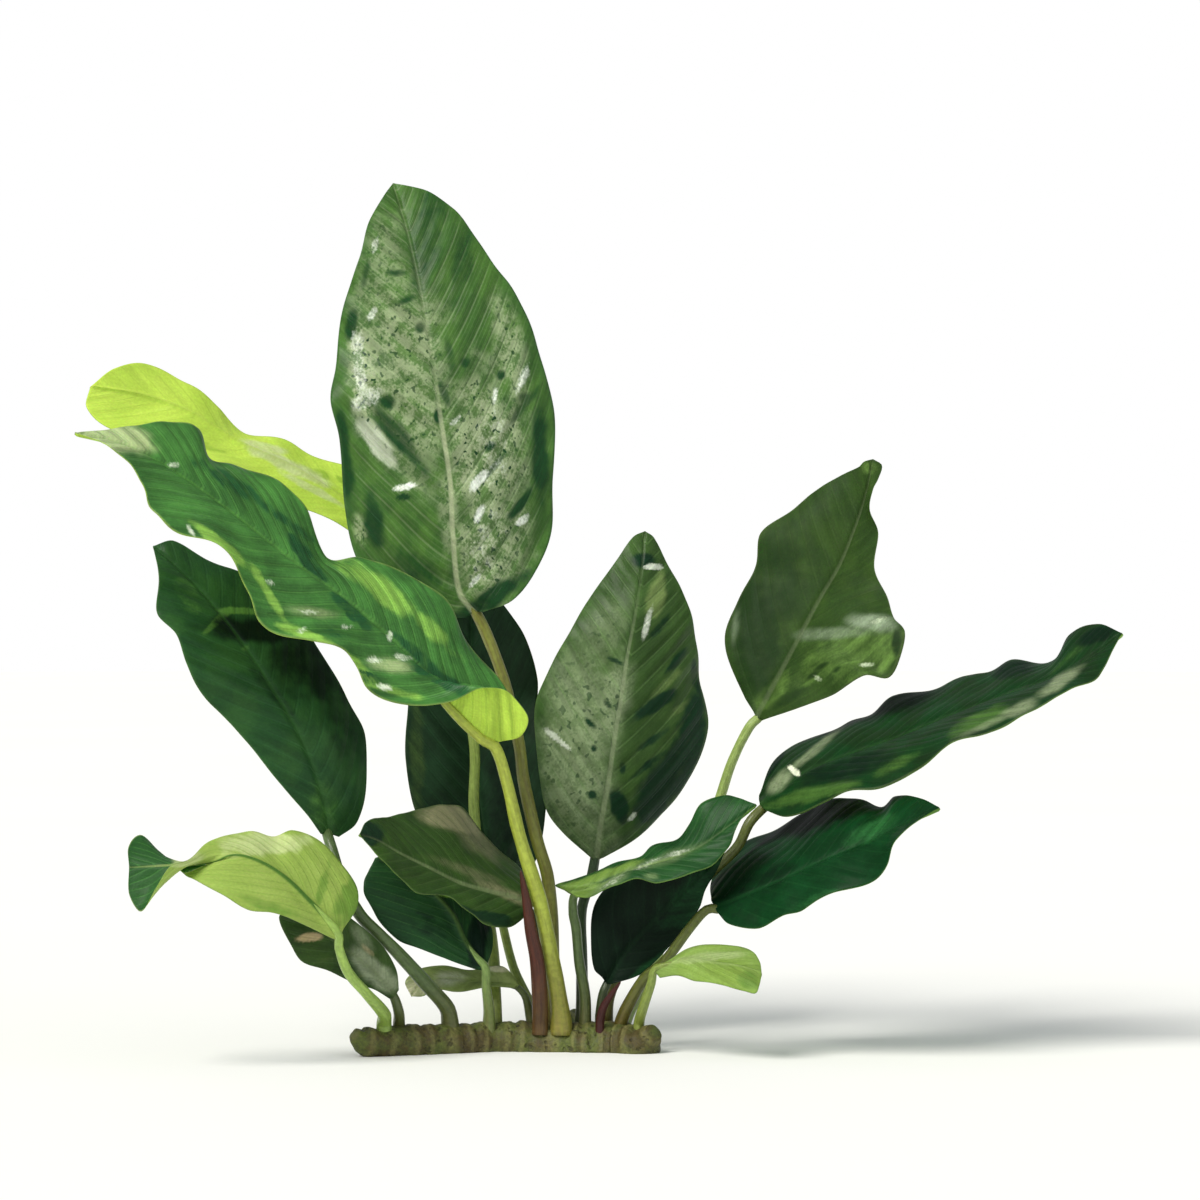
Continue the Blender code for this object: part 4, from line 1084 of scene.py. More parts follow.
@dataclass
class Rhizome:
    """The creeping stem: a ringed main run with an older side branch, cut flat where the plant rests."""

    axis: tuple[Point, ...] = (
        (-81, -24, 2.0), (-78, -22, 4.8), (-67, -15, 6.2), (-51, -8, 6.6), (-36, -1, 7.0), (-20, 1, 9.0),
        (-5, 1, 10.6), (7, -2, 9.8), (14, -8, 7.5), (18, -13, 3.0))
    branch_axis: tuple[Point, ...] = (
        (-12, 0, 6.0), (-17, 12, 7.6), (-19, 26, 7.0), (-16, 38, 6.6), (-10, 47, 5.0), (-8, 50, 2.0))
    slot: str = "rhizome_skin"
    scar_spacing: float = 7.0
    scar_height: float = 0.28
    scar_drift: float = 0.9
    lump_height: float = 0.8
    lump_size: float = 6.5
    lump_sink: float = 0.6
    small_lump_share: float = 0.35
    small_lumps_per_lump: float = 3.1
    ring_waver: float = 1.2
    ring_waver_size: float = 7.0
    radius_least: float = 0.8
    step: float = 0.7
    sides: int = 56

    def ring_turn(self, reach: float) -> float:
        """Count the rings, in radians, up to a distance in millimetres. They lie at uneven distances."""
        drift = self.scar_drift * noise.noise(Vector((reach / (2 * self.scar_spacing), 3.0, 0.0)))
        return 2 * math.pi * (reach / self.scar_spacing + drift)

    def run_mesh(self, name: str, axis: tuple[Point, ...]) -> bpy.types.Object:
        """Model one stretch, whose upper side is level with the stalks' feet."""
        run = SmoothCurve([Vector(point) for point in axis])
        steps = round(run.length / self.step)
        points = []
        radii = []
        for number in range(steps + 1):
            right, back, radius = run.at(number / steps)
            turn = self.ring_turn(run.length * number / steps)
            scar = self.scar_height * (math.cos(turn) - 0.4 * math.cos(2 * turn))
            points.append(Vector((right, back, STALK_FOOT_HEIGHT - radius)))
            radii.append(max(radius + scar, self.radius_least))
        stem = sweep(points, radii, self.sides)
        foot = stem.verts.layers.float["from_foot"]
        ring = stem.verts.layers.float.new("ring")
        for vertex in stem.verts:
            waver = self.ring_waver * noise.noise(vertex.co / (self.ring_waver_size * MM))
            vertex[ring] = 0.5 + 0.5 * math.cos(self.ring_turn(vertex[foot]) + waver)
        return add_object(name, mesh_of(stem, name))

    def build(self) -> bpy.types.Object:
        """Join the two stretches, roughen them, cut them flat and dress them."""
        main_run = self.run_mesh("rhizome_run", self.axis)
        branch = self.run_mesh("rhizome_branch", self.branch_axis)
        union = main_run.modifiers.new("branch", "BOOLEAN")
        union.operation = "UNION"
        union.object = branch
        union.solver = "EXACT"
        bpy.context.view_layer.update()
        evaluated = main_run.evaluated_get(bpy.context.evaluated_depsgraph_get())
        joined = bpy.data.meshes.new_from_object(evaluated)
        bpy.data.objects.remove(main_run)
        bpy.data.objects.remove(branch)
        stem = bmesh.new()
        stem.from_mesh(joined)
        bmesh.ops.remove_doubles(stem, verts=stem.verts, dist=WELD_DISTANCE * MM)
        stem.normal_update()
        for vertex in stem.verts:
            lump = noise.noise(vertex.co / (self.lump_size * MM)) - self.lump_sink
            small_place = vertex.co * self.small_lumps_per_lump / (self.lump_size * MM)
            lump += self.small_lump_share * noise.noise(small_place)
            vertex.co += vertex.normal * lump * self.lump_height * MM
        floor_cut = bmesh.ops.bisect_plane(stem, geom=stem.verts[:] + stem.edges[:] + stem.faces[:],
                                           plane_co=(0, 0, 0), plane_no=(0, 0, 1), clear_inner=True)
        rim = [part for part in floor_cut["geom_cut"] if isinstance(part, bmesh.types.BMEdge)]
        bmesh.ops.holes_fill(stem, edges=rim, sides=0)
        bmesh.ops.recalc_face_normals(stem, faces=stem.faces)
        for face in stem.faces:
            face.smooth = abs(face.normal.z + 1) > 0.01
        stem.to_mesh(joined)
        stem.free()
        joined.name = "rhizome_fine"
        return add_piece(joined, RhizomeSkin().make("rhizome_skin"), "rhizome")


@dataclass(frozen=True)
class Sun:
    """A broad, even light from far off.

    Its strength is in watts per square metre, and its softness is its width in the sky, in degrees.
    """

    name: str
    towards: Point
    strength: float
    softness: float
    colour: str

    def shine(self) -> None:
        """Add the light to the scene."""
        lamp = bpy.data.lights.new(self.name, "SUN")
        lamp.angle = math.radians(self.softness)
        lamp.energy = self.strength
        lamp.color = srgb(self.colour)[:3]
        light = add_object(self.name, lamp)
        light.rotation_euler = Vector(self.towards).to_track_quat("Z", "Y").to_euler()


@dataclass
class Studio:
    """Plain pale floor, soft light and the camera. The floor's radius and the far limit are in metres."""

    floor_radius: float = 8.0
    floor_sides: int = 96
    lens: float = EYE_DISTANCE * SENSOR_WIDTH / VIEW_WIDTH
    far_limit: float = 40.0
    sky: str = "f0f4f6"
    sky_strength: float = 0.5
    suns: tuple[Sun, ...] = (Sun("key", (-0.6, -0.75, 0.95), 2.9, 28.0, "fffcf4"),
                             Sun("fill", (0.9, -0.8, 0.35), 0.35, 60.0, "f4f8ff"))

    def add_floor(self) -> None:
        """Lay a round floor under the plant."""
        disc = bmesh.new()
        bmesh.ops.create_circle(disc, cap_ends=True, segments=self.floor_sides, radius=self.floor_radius)
        mesh = mesh_of(disc, "floor")
        mesh.materials.append(FloorPaint().make("floor_paint"))
        add_object("floor", mesh)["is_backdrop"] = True

    def add_sky(self) -> None:
        """Surround the scene with an even, pale light that looks white."""
        world = bpy.data.worlds.new("studio")
        world.use_nodes = True
        bpy.context.scene.world = world
        tree = world.node_tree
        tree.nodes.clear()
        path = add_node(tree, "LightPath").outputs["Is Camera Ray"]
        seen = add_node(tree, "Background", {"Color": (1, 1, 1, 1), "Strength": 1.0})
        lit = add_node(tree, "Background", {"Color": srgb(self.sky), "Strength": self.sky_strength})
        both = add_node(tree, "MixShader", {}, {0: path, 1: lit.outputs[0], 2: seen.outputs[0]})
        add_node(tree, "OutputWorld", {}, {0: both.outputs[0]})

    def add_camera(self) -> None:
        """Set up the camera level with the middle of the plant."""
        camera_data = bpy.data.cameras.new("camera")
        camera_data.lens = self.lens
        camera_data.sensor_width = SENSOR_WIDTH
        camera_data.clip_end = self.far_limit
        camera = add_object("camera", camera_data)
        camera.location = (0, -EYE_DISTANCE * MM, EYE_HEIGHT * MM)
        camera.rotation_euler = (math.pi / 2, 0, 0)
        bpy.context.scene.camera = camera

    def build(self) -> None:
        """Set the whole stage, and show its colours as they are."""
        self.add_floor()
        for sun in self.suns:
            sun.shine()
        self.add_sky()
        self.add_camera()
        bpy.context.scene.view_settings.view_transform = "Standard"


def marks(**kinds: tuple[tuple[float, ...], ...]) -> tuple[Mark, ...]:
    """Make the marks of one blade.

    Args:
        kinds: For each kind, its marks' right, up, half length, half breadth, turn and strength.

    Returns:
        The marks.
    """
    return tuple(Mark(MarkKind[kind.upper()], *numbers) for kind, rows in kinds.items() for numbers in rows)


@dataclass(frozen=True)
class Dress:
    """The finish of one leaf: its blade's skin, marks and slot, and its stalk's skin and slot."""

    skin: BladeSkin
    slot: str
    stalk_slot: str
    stalk_skin: StalkSkin
    marks: tuple[Mark, ...]


DARK_STALK = StalkSkin(upper="33482a", foot="3f4224", streak="25361c")
GREEN_STALK = StalkSkin(upper="52683a", foot="5a5a30", streak="3c4f26")
OLIVE_STALK = StalkSkin(upper="5f6a2e", foot="625420", streak="474a1c")
LIME_STALK = StalkSkin(upper="8ca04c", foot="7f8a3c", streak="6f8038")

DRESSES: dict[str, Dress] = {
    "tall": Dress(
        skin=BladeSkin(upper="476c2e", cloud="3a5e29", deep="163c1c", film="909f78", pale="bcc4ae",
            glint="e4eadf", vein="8fa078", rib="aab48e", rib_reach=0.5, rib_strength=0.75, margin="3c5f34",
            under="86a852", under_cloud="74984a", vein_spacing=8.5, vein_slope=1.05, fine_veins=4,
            cloud_size=10.0, dark_and_shade_edge=1.0, speck_share=0.9, speck_size=2.2, roughness=0.36, coat=0.06,
            quilt=1.5, band_tone_and_shade=0.2, painted_sheen_grain=1.0),
        slot="blade_sheen_green", stalk_slot="stalk_yellow_green",
        stalk_skin=StalkSkin(upper="74792f", foot="625a26", streak="5a4f20"),
        # Its grey sheen and glints are painted light; its broad dark marks are painted shade in its folds,
        # and the small ones are its own dark flecks.
        marks=marks(
            film=((-66, 222, 26, 15, 92, 0.88), (-61, 200, 20, 12, 90, 0.85), (-30, 222, 20, 5, 102, 0.9),
                (-37, 190, 26, 14, 92, 1.15), (-36, 160, 22, 12, 80, 1.0), (-74, 250, 20, 7, 74, 0.55),
                (-50, 168, 18, 3.5, 90, 0.7), (-68, 246, 10, 7, 80, 0.5), (-80, 163, 5.5, 2.6, 100, 1.0),
                (-79, 214, 17, 5, 93, 1.3)),
            deep=((-58, 262, 22, 6, 82, 0.55), (-46, 252, 14, 4, 76, 0.5), (-83, 232, 5, 2, 80, 0.9),
                (-78, 249, 5, 1.6, 78, 0.7), (-71, 206, 2.8, 2.5, 0, 1.0),
                (-66.5, 193.5, 16, 3.2, -52, 0.8), (-85.5, 188, 19, 2.6, 96, 0.9),
                (-75.5, 166, 11, 3.6, 100, 1.0), (-62, 149, 9, 7, -40, 0.55), (-20, 187, 18, 3.2, 91, 1.0),
                (-26.5, 172, 8, 1.8, 50, 0.95), (-36, 141, 14, 3.2, 32, 1.0), (-26, 204, 9, 1.5, 52, 0.75),
                (-34, 186, 7, 1.1, 50, 0.6), (-32, 160, 9, 1.0, 48, 0.5), (-36.3, 191.3, 2.6, 1.6, 30, 1.0),
                (-54, 201, 1.8, 3.2, 0, 1.0), (-65.7, 174.3, 2.6, 1.0, 0, 1.0),
                (-64.5, 240, 4, 1.5, 22, 0.7), (-67.7, 249, 4.5, 1.2, 0, 0.6), (-50, 222, 8, 1.6, 100, 0.5),
                (-52, 209, 5, 1.5, 110, 0.7), (-25.3, 207.5, 2.2, 2.2, 0, 0.75),
                (-33, 215, 1.8, 1.8, 0, 0.75), (-45, 219, 2.2, 2.2, 0, 0.75),
                (-60, 231, 1.9, 1.9, 0, 0.75)),
            pale=((-74.5, 193, 12, 3.2, -52, 1.0),),
            glint=((-80.3, 217, 14, 2.6, 93, 0.5), (-78, 207, 6, 3.6, 20, 0.5), (-36, 190, 22, 8, 84, 0.28),
                (-38, 158, 16, 7, 72, 0.28), (-65.7, 177.6, 4, 1.2, 12, 0.9),
                (-40.7, 179.5, 4.4, 1.8, 55, 0.9), (-40, 169, 4, 1.5, 62, 0.8),
                (-26, 166.5, 3.4, 1.4, 40, 0.8), (-48, 200, 3, 1.2, 45, 0.6), (-35, 208, 4, 1.2, 80, 0.8),
                (-42, 146, 3.5, 1.0, 50, 0.7), (-75, 258, 3.4, 1.2, 75, 0.5), (-76, 235, 3.4, 1.6, 60, 0.6),
                (-25.6, 214, 6, 1.8, 68, 0.65)))),
    "arching": Dress(
        skin=BladeSkin(upper="467c38", cloud="38662f", deep="22502b", film="a4b580", pale="86b44e",
            glint="e0ecd2", vein="5f9446", rib="5a8f40", margin="9cb362", under="b4d44e",
            under_cloud="a8c848", under_vein="86a83a", under_rib="b0cc55", vein_spacing=7.0, vein_slope=1.4,
            glow=0.15, rib_strength=0.35, roughness=0.34, coat=0.06, quilt=1.7, band_tone_and_shade=0.22),
        slot="blade_mid_green", stalk_slot="stalk_yellow_green",
        stalk_skin=StalkSkin(upper="a8b644", foot="7c7434", streak="838a30", foot_reach=50.0),
        marks=marks(
            film=((-165, 195, 14, 5, -12, 1.6), (-70, 118, 7, 2.4, -8, 0.8), (-96, 136, 8, 2, -6, 0.6)),
            deep=((-97, 153, 14, 2.6, -52, 0.75), (-121, 178, 18, 3.2, -32, 0.7),
                (-84, 137, 13, 2.4, -45, 0.65), (-62, 123, 14, 2.4, -38, 0.65), (-52, 113, 14, 3, -28, 0.7),
                (-104, 166, 12, 2, -38, 0.6), (-88, 129, 9, 1.5, -8, 0.55), (-76, 114.5, 6, 1.4, -20, 0.6)),
            pale=((-72, 143, 18, 4, -38, 0.85), (-56, 130, 12, 3, -45, 0.65),
                (-126, 158, 12, 2.2, -38, 1.2), (-111, 143, 11, 1.6, -58, 1.0),
                (-99, 129, 9, 1.8, -18, 1.0), (-86, 121, 14, 2.2, -35, 1.0), (-70, 110, 12, 1.6, -14, 0.8),
                (-38, 104, 9, 4, -35, 0.7), (-166, 194, 13, 4, -12, 0.6), (-84, 150, 8, 2.4, -40, 0.5)),
            glint=((-136.5, 163, 3, 1.1, -50, 0.9), (-72, 111, 3.6, 1.2, -12, 1.0),
                (-110, 146, 2.4, 1.1, -10, 0.7), (-142, 185, 2.2, 1.1, 0, 0.6),
                (-97, 136, 4.5, 0.9, -5, 0.75), (-75, 120, 3.2, 0.9, 0, 0.75), (-70, 128, 1.3, 2.2, 0, 0.8),
                (-99.5, 130, 2.4, 1.1, 10, 0.7), (-66, 121, 3.4, 0.9, -15, 0.6),
                (-84, 131, 3, 0.8, 5, 0.6)))),
    "back_pale": Dress(
        skin=BladeSkin(upper="4f8a34", cloud="3f7a30", deep="8fb03c", pale="c3cf92", under="c2dc58",
            under_cloud="b6d250", under_vein="93b03e", under_rib="a2b452", margin="b0c466", roughness=0.45,
            glow=0.2, rib_strength=0.3, vein_strength=0.15, fine_strength=0.1, quilt=0.5, band_tone_and_shade=0.06),
        slot="blade_pale_underside", stalk_slot="stalk_yellow_green",
        stalk_skin=LIME_STALK,
        marks=marks(
            deep=((-90, 181, 10, 1.6, -20, 0.6), (-140, 195, 20, 2.2, -22, 0.5)),
            pale=((-104, 185, 17, 2.4, -24, 1.0), (-94, 176, 14, 1.4, -28, 0.8),
                (-112, 191, 10, 1.6, -14, 0.8)))),
    "left_dark": Dress(
        skin=BladeSkin(upper="2c5228", cloud="214524", deep="08190f", film="4a6a48", pale="55803a",
            vein="34603a", rib="35602c", margin="3f6534", under="5f8a44", vein_strength=0.15,
            rib_strength=0.3, dark_and_shade_edge=1.1, glow=0.05, fine_strength=0.1, quilt=0.8),
        slot="blade_dark_green", stalk_slot="stalk_green",
        stalk_skin=GREEN_STALK,
        # The near-black dark marks are a painted shadow under a curled lip of the leaf, and the thin pale
        # marks along that lip are its painted lit rim.
        marks=marks(
            deep=((-113, 129.5, 20, 4.2, -6, 1.1), (-96, 121, 17, 13, -50, 0.85),
                (-86, 105, 22, 9, 110, 0.5), (-109, 109, 12, 2.4, -48, 0.5)),
            pale=((-128, 132.5, 6, 1.2, 42, 1.3), (-117.5, 136.3, 9, 1.2, -2, 1.3),
                (-107, 134, 7, 1.5, -28, 1.2), (-92, 70, 12, 5, 100, 0.35), (-138, 143, 10, 4, 120, 0.3),
                (-118, 124, 2, 1, 20, 0.5)))),
    "low_pale": Dress(
        skin=BladeSkin(upper="2f5a2c", cloud="264e26", deep="6f913c", pale="bcc98a", under="9cb358",
            under_cloud="93ac50", under_vein="7c9a40", under_rib="3d6a28", margin="a0b470", vein="4f8a40",
            vein_spacing=5.0, vein_slope=1.3, roughness=0.48, coat=0.02, glow=0.15, vein_strength=0.35,
            fine_strength=0.15, rib_strength=0.9, dark_and_shade_edge=0.8, quilt=0.7, band_tone_and_shade=0.07),
        slot="blade_pale_underside", stalk_slot="stalk_yellow_green",
        stalk_skin=StalkSkin(upper="a0c05c", foot="8aa44c", streak="7c9c44"),
        marks=marks(
            deep=((-83, 40, 10, 5, 70, 1.0), (-92, 46, 10, 1.4, 75, 0.6), (-110, 38, 14, 2, -20, 0.6)),
            pale=((-112, 59, 16, 4, 3, 1.0), (-138, 53, 6, 3, 20, 0.8)))),
    "low_grey": Dress(
        skin=BladeSkin(upper="36501f", cloud="2c431d", deep="20361a", film="8a9678", pale="b3a078",
            vein="48603a", rib="5f7044", margin="5f6f4c", under="6f8058", vein_strength=0.2,
            rib_strength=0.3),
        slot="blade_grey_green", stalk_slot="stalk_green",
        stalk_skin=GREEN_STALK,
        marks=marks(
            film=((-75, 16.5, 9, 3.6, -38, 1.5), (-79, 27, 6, 2, -50, 0.5)),
            pale=((-96.5, 27.5, 5, 1.5, 8, 1.1), (-77, 23, 3, 1.2, -45, 0.6)))),
    "back_dark": Dress(
        skin=BladeSkin(upper="1f3a24", cloud="182e1c", deep="0e2014", film="2f4a38", pale="3a4f28",
            vein="264a2c", rib="2c4c2c", margin="2c4424", under="2f5232", roughness=0.45, coat=0.0,
            specular=0.15, vein_strength=0.2, rib_strength=0.3, glow=0.0, fine_strength=0.1),
        slot="blade_shade_green", stalk_slot="stalk_green",
        stalk_skin=LIME_STALK,
        marks=marks(
            deep=((-30, 75, 26, 8, 95, 0.6),),
            pale=((-61, 86, 26, 3, 90, 0.6),))),
    "centre_olive": Dress(
        skin=BladeSkin(upper="34501f", cloud="2c451d", deep="16301c", film="8c8a68", pale="6a8040",
            vein="4a6034", rib="76865c", margin="5c7044", under="6f8a48", vein_strength=0.3,
            vein_spacing=5.5, vein_slope=1.3, rib_strength=0.6, dark_and_shade_edge=0.6),
        slot="blade_olive", stalk_slot="stalk_green",
        stalk_skin=DARK_STALK,
        marks=marks(
            film=((-50, 67, 10, 4, -18, 1.6), (-42, 61, 12, 4, -38, 0.6), (-31, 42, 12, 2, -22, 0.7),
                (-45, 50, 12, 1.6, -20, 0.35)),
            deep=((-76, 62, 5, 4, 40, 1.1), (-42, 35, 16, 2.4, -12, 0.8)))),
    "under_dark": Dress(
        skin=BladeSkin(upper="2c4f2a", cloud="22422a", deep="0c2016", pale="6f9a3c", under="234a26",
            under_cloud="1c3c22", under_vein="33582f", under_rib="45602f", margin="3c5c30",
            vein_strength=0.5, fine_strength=0.1, rib_strength=0.8, glow=0.03, vein_spacing=6.0,
            vein_slope=1.5, dark_and_shade_edge=0.8),
        slot="blade_dark_green", stalk_slot="stalk_green",
        stalk_skin=StalkSkin(upper="84a058", foot="666838", streak="64803e"),
        # The long upright dark mark near the midrib is painted shadow.
        marks=marks(
            deep=((-40, 30, 13, 3.5, 80, 1.0), (-58, 32, 10, 4, -30, 0.5)),
            pale=((-51.5, 42, 4.5, 1.2, -8, 1.2),))),
    "ground": Dress(
        skin=BladeSkin(upper="86965a", cloud="76884a", deep="4c6438", film="b4baa0", pale="dcd8b8",
            vein="8a9a6c", under="7c8c60", margin="8a9468", vein_strength=0.1, fine_strength=0.0,
            rib_strength=0.3),
        slot="blade_grey_green", stalk_slot="stalk_yellow_green",
        stalk_skin=GREEN_STALK,
        marks=marks(
            film=((-50, 14, 6, 2.6, 0, 0.9),),
            pale=((-62, 11, 6, 4, 20, 0.6), (-34, 17, 5, 1.2, -5, 0.8)))),
    "diamond": Dress(
        skin=BladeSkin(upper="3c5828", cloud="324c22", deep="10301a", film="7a8a66", pale="687c46",
            glint="d0d8c6", vein="5f7c48", rib="84916e", margin="4c6638", under="6f8f4a", vein_spacing=8.0,
            vein_slope=0.95, vein_strength=0.3, fine_strength=0.12, rib_reach=0.75, speck_share=0.7,
            dark_and_shade_edge=0.8, quilt=1.2, coat=0.04, band_tone_and_shade=0.18, painted_sheen_grain=0.5),
        slot="blade_olive", stalk_slot="stalk_green",
        stalk_skin=DARK_STALK,
        # The sheen on its left half is painted light, and the large dark marks on its right half are painted
        # shade where that half turns from the light.
        marks=marks(
            film=((-8, 92, 34, 13, 86, 0.9), (-5, 68, 18, 9, 115, 0.5), (4, 106, 17, 6, 75, 0.9),
                (-3, 122, 20, 7, 62, 0.5)),
            deep=((29, 91, 22, 5.5, 76, 0.95), (20, 77, 16, 6.5, 58, 1.0), (18.8, 105.3, 11, 2.6, 33, 1.0),
                (7, 70.7, 6, 3.2, 110, 1.0), (14, 153.3, 5, 2.6, 0, 1.0), (19, 130, 7, 1.7, 50, 0.7),
                (25.7, 120, 6, 1.4, 50, 0.7), (31.5, 115, 5, 1.3, 92, 0.7), (17, 93, 9, 1.2, 35, 0.7),
                (16, 85, 9, 1.2, 38, 0.7), (-3.2, 99, 3, 1.2, -45, 0.8), (2.7, 105.3, 2.6, 1.1, -50, 0.8),
                (7.6, 84, 2.4, 1.5, 90, 0.9), (5, 119.7, 4.2, 1.0, -25, 0.8), (-2, 90.5, 1.3, 1.3, 0, 0.75),
                (-2.5, 75, 1.6, 1.6, 0, 0.75)),
            pale=((19, 142, 9, 3, 80, 0.9), (22, 112, 9, 1.6, 42, 0.6), (27, 104, 6, 1.4, 38, 0.6),
                (-14, 75, 12, 3, 115, 0.3)),
            glint=((18, 151, 3.4, 1.1, 0, 1.1), (15.5, 131, 6, 1.3, 76, 0.85),
                (10.5, 67.5, 2.4, 0.9, 45, 0.8), (-14, 93.5, 7, 0.9, -40, 0.9)))),
    "right_upper": Dress(
        skin=BladeSkin(upper="324a1e", cloud="2a411c", deep="1c3214", film="93a488", pale="63833e",
            glint="b8c6a6", vein="465e2c", rib="62704f", margin="57683f", under="6f8a44", vein_spacing=7.5,
            vein_strength=0.12, fine_strength=0.1, rib_strength=0.4, quilt=0.4, dark_and_shade_edge=1.0,
            roughness=0.5, specular=0.08, coat=0.0, band_tone_and_shade=0.12),
        slot="blade_olive", stalk_slot="stalk_green",
        stalk_skin=StalkSkin(upper="9ab062", foot="66783a", streak="7c924a"),
        # The large dark marks over its left part are painted shade, and its grey sheen and glints are painted
        # light.
        marks=marks(
            film=((90.5, 132.5, 8, 3, -4, 0.8), (79, 129, 13, 2.2, 3, 0.4), (45.3, 131.7, 6, 1.5, 82, 0.5)),
            deep=((52, 130, 26, 9, 96, 0.8), (58, 147, 20, 10, 78, 0.6), (99, 126, 4.5, 1.6, 90, 0.9),
                (74, 118, 3.4, 0.9, 32, 0.9), (71, 115, 3, 0.8, 32, 0.8), (79, 117, 2.4, 0.8, 40, 0.7),
                (62, 107, 8, 2, 28, 0.6)),
            pale=((84, 122, 18, 9, 20, 0.55), (57.5, 109, 11, 4, 46, 0.6), (70, 115, 9, 4, 30, 0.4),
                (95, 119, 5, 2, 60, 0.8), (90, 184, 4, 2.2, 0, 0.5)),
            glint=((89, 118.5, 3.2, 1.0, 5, 0.8), (72.5, 114, 2.2, 0.7, -30, 0.6),
                (92.5, 133, 4.5, 1.0, 20, 0.6)))),
    "right_long": Dress(
        skin=BladeSkin(upper="103616", cloud="162f14", deep="081f10", film="7e8c6a", pale="42642a",
            glint="e0e6cc", vein="2f5a2c", rib="30562a", margin="5a6c40", under="6f9a44", vein_spacing=6.5,
            vein_slope=1.4, vein_strength=0.15, rib_strength=0.25, glow=0.05, fine_strength=0.1, quilt=0.5,
            dark_and_shade_edge=0.9, specular=0.07, coat=0.0),
        slot="blade_dark_green", stalk_slot="stalk_olive_brown",
        stalk_skin=OLIVE_STALK,
        marks=marks(
            film=((60, 79, 5, 2.6, 50, 0.9), (72, 90.5, 12, 1.3, 41, 0.8), (140, 104, 7, 1.8, 22, 0.8),
                (153, 112.5, 8, 2, 36, 1.0), (128, 98, 9, 1, 24, 0.6)),
            deep=((82, 84, 16, 4, 18, 0.7), (100, 106, 14, 3, 18, 0.7), (138, 117, 8, 3, 10, 0.8),
                (166, 128, 8, 2.6, 20, 0.9), (58, 85, 6, 1.2, 55, 0.8)),
            pale=((69, 75, 18, 2.6, 14, 0.8), (98.6, 85, 9, 2.0, 28, 0.6), (127, 100, 12, 3, 25, 0.8),
                (155, 120, 10, 2, 38, 0.3)),
            glint=((64.8, 83, 2.6, 1.0, -40, 1.1),))),
    "right_low": Dress(
        skin=BladeSkin(upper="0e3a1b", cloud="0c3016", deep="0a1a10", film="2f5a3c", pale="2c6434",
            vein="205028", rib="20502a", margin="2c5028", under="4f7a3a", specular=0.06, vein_strength=0.15,
            fine_strength=0.1, rib_strength=0.3, glow=0.03, vein_spacing=6.5, dark_and_shade_edge=1.0, quilt=0.7),
        slot="blade_dark_green", stalk_slot="stalk_olive_brown",
        stalk_skin=OLIVE_STALK,
        marks=marks(
            deep=((44, 45, 18, 12, 20, 0.45), (64, 67, 28, 6, 14, 0.95), (56, 48, 16, 3, 22, 0.5)),
            pale=((90, 63, 12, 4, 34, 0.6), (72, 40, 12, 2.4, 20, 0.4)))),
    # This leaf's near-black colours are painted shade, as it lies in the shadow of the leaves in front of it;
    # its pale marks are where that shade is lighter.
    "shade": Dress(
        skin=BladeSkin(upper="0f2015", cloud="0b1a11", deep="060e0a", film="1f3a28", pale="1c4426",
            vein="142818", rib="16301c", margin="16281a", under="1f4226", roughness=0.5, coat=0.0,
            specular=0.08, vein_strength=0.2, fine_strength=0.1, rib_strength=0.3, glow=0.0),
        slot="blade_shade_green", stalk_slot="stalk_green",
        stalk_skin=DARK_STALK,
        marks=marks(
            pale=((20, 20, 16, 2.4, 36, 0.9), (31, 40, 16, 9, 40, 0.55), (38, 50, 9, 6, 40, 0.6)))),
    "short_glossy": Dress(
        skin=BladeSkin(upper="204c22", cloud="1c431f", deep="123418", film="6f8458", pale="68843a",
            glint="d8e0cc", vein="4f7c42", rib="7c9654", margin="6f8a4c", under="6f9a48", roughness=0.42,
            coat=0.03, vein_spacing=5.0, vein_slope=1.4, vein_strength=0.15, fine_strength=0.1, glow=0.08,
            rib_reach=0.6),
        slot="blade_wet_green", stalk_slot="stalk_olive_brown",
        stalk_skin=GREEN_STALK,
        marks=marks(
            film=((3.5, 45.5, 8, 1.6, 30, 0.8), (24, 54.5, 13, 2.0, 20, 0.5), (17, 48, 2.4, 0.8, 0, 0.8)),
            deep=((24, 59, 10, 1.6, 24, 0.4),),
            pale=((-8, 43, 8, 4, 10, 1.2), (3, 49, 12, 1.8, 20, 1.0)),
            glint=((5, 46.5, 6, 0.9, 30, 0.4), (27, 56, 7, 1.0, 14, 0.5), (16, 52, 6, 1.0, 26, 0.45)))),
    "curled_pale": Dress(
        skin=BladeSkin(upper="5f8f3c", cloud="508236", deep="5f7f34", pale="a4b67c", under="84a050",
            under_cloud="78933f", under_vein="6c883c", under_rib="8ca060", margin="9aac70", roughness=0.48,
            coat=0.02, glow=0.1, vein_spacing=4.5, vein_slope=1.6, vein_strength=0.2, fine_strength=0.1,
            dark_and_shade_edge=0.8),
        slot="blade_pale_underside", stalk_slot="stalk_yellow_green",
        stalk_skin=LIME_STALK,
        marks=marks(
            deep=((50, 13, 4, 4, 60, 0.7),),
            pale=((36, 21, 14, 2, 5, 0.7),))),
}


def build_leaves() -> None:
    """Build every leaf: its blade, and the stalk that runs into it."""
    for plan in LEAF_PLANS:
        dress = DRESSES[plan.name]
        shape = BladeShape(plan, dress.skin)
        Blade(shape, dress.marks, dress.slot).build()
        Stalk(shape, dress.stalk_skin, dress.stalk_slot).build()


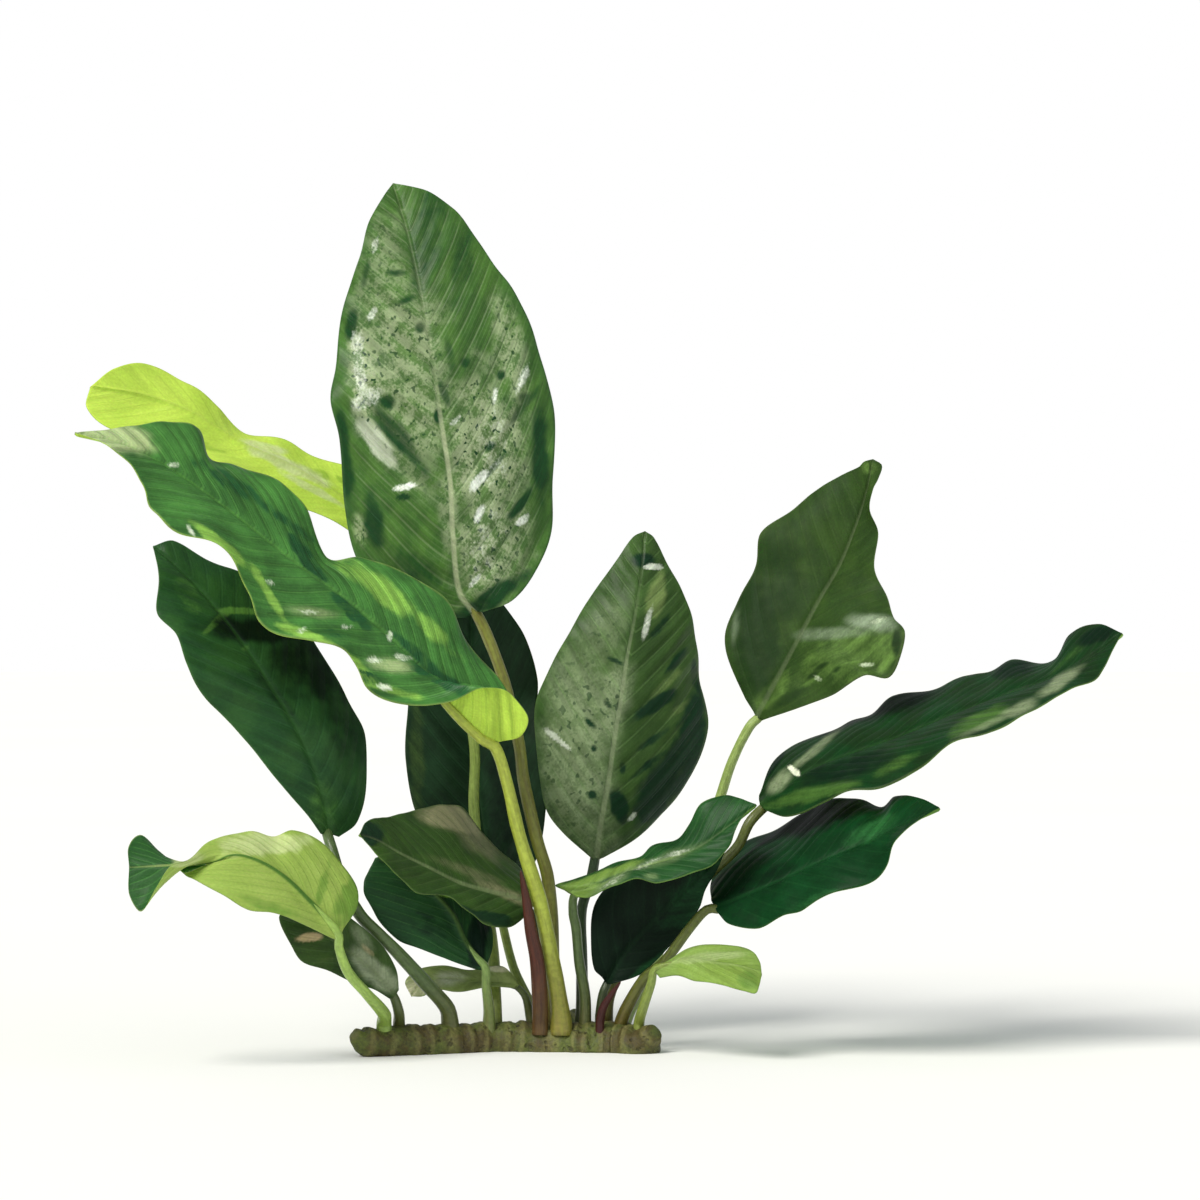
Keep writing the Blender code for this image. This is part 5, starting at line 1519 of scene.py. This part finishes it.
def build_sheaths() -> None:
    """Build the two sheath leaves at the foot of the stalks."""
    red = StalkSkin(upper="4c2010", foot="5a4420", streak="2e0e06", roughness=0.45, glow=0.0)
    dark = StalkSkin(upper="4a1612", foot="3b0d0a", streak="2a0806", roughness=0.45, glow=0.0)
    red_spine = ((-20, -1, -5), (-20, 6, -8.5), (-21, 20, -14), (-23, 30, -17.5), (-24.5, 40, -20.5),
                 (-26.5, 50, -23.5))
    dark_spine = ((0, -1, -6), (1, 4, -8), (4, 9, -10), (7, 13, -12))
    SheathLeaf("red", red_spine, 5.4, red, "sheath_red_brown").build()
    SheathLeaf("dark", dark_spine, 3.0, dark, "sheath_dark_red", rows=24).build()


def write_sizes(solid_box: tuple[Vector, Vector]) -> None:
    """Measure the solids' box and the finished plant's box, and turn them into plain lists."""
    boxes = {"cad": solid_box, "visual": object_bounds()}
    boxes = {name: [list(corner) for corner in box] for name, box in boxes.items()}


def main() -> None:
    """Build the plant and its studio."""
    logging.basicConfig(level=logging.INFO, format="%(name)s: %(message)s")
    solid_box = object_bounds()
    build_leaves()
    build_sheaths()
    Rhizome().build()
    Studio().build()
    write_sizes(solid_box)


if __name__ == "__main__":
    main()
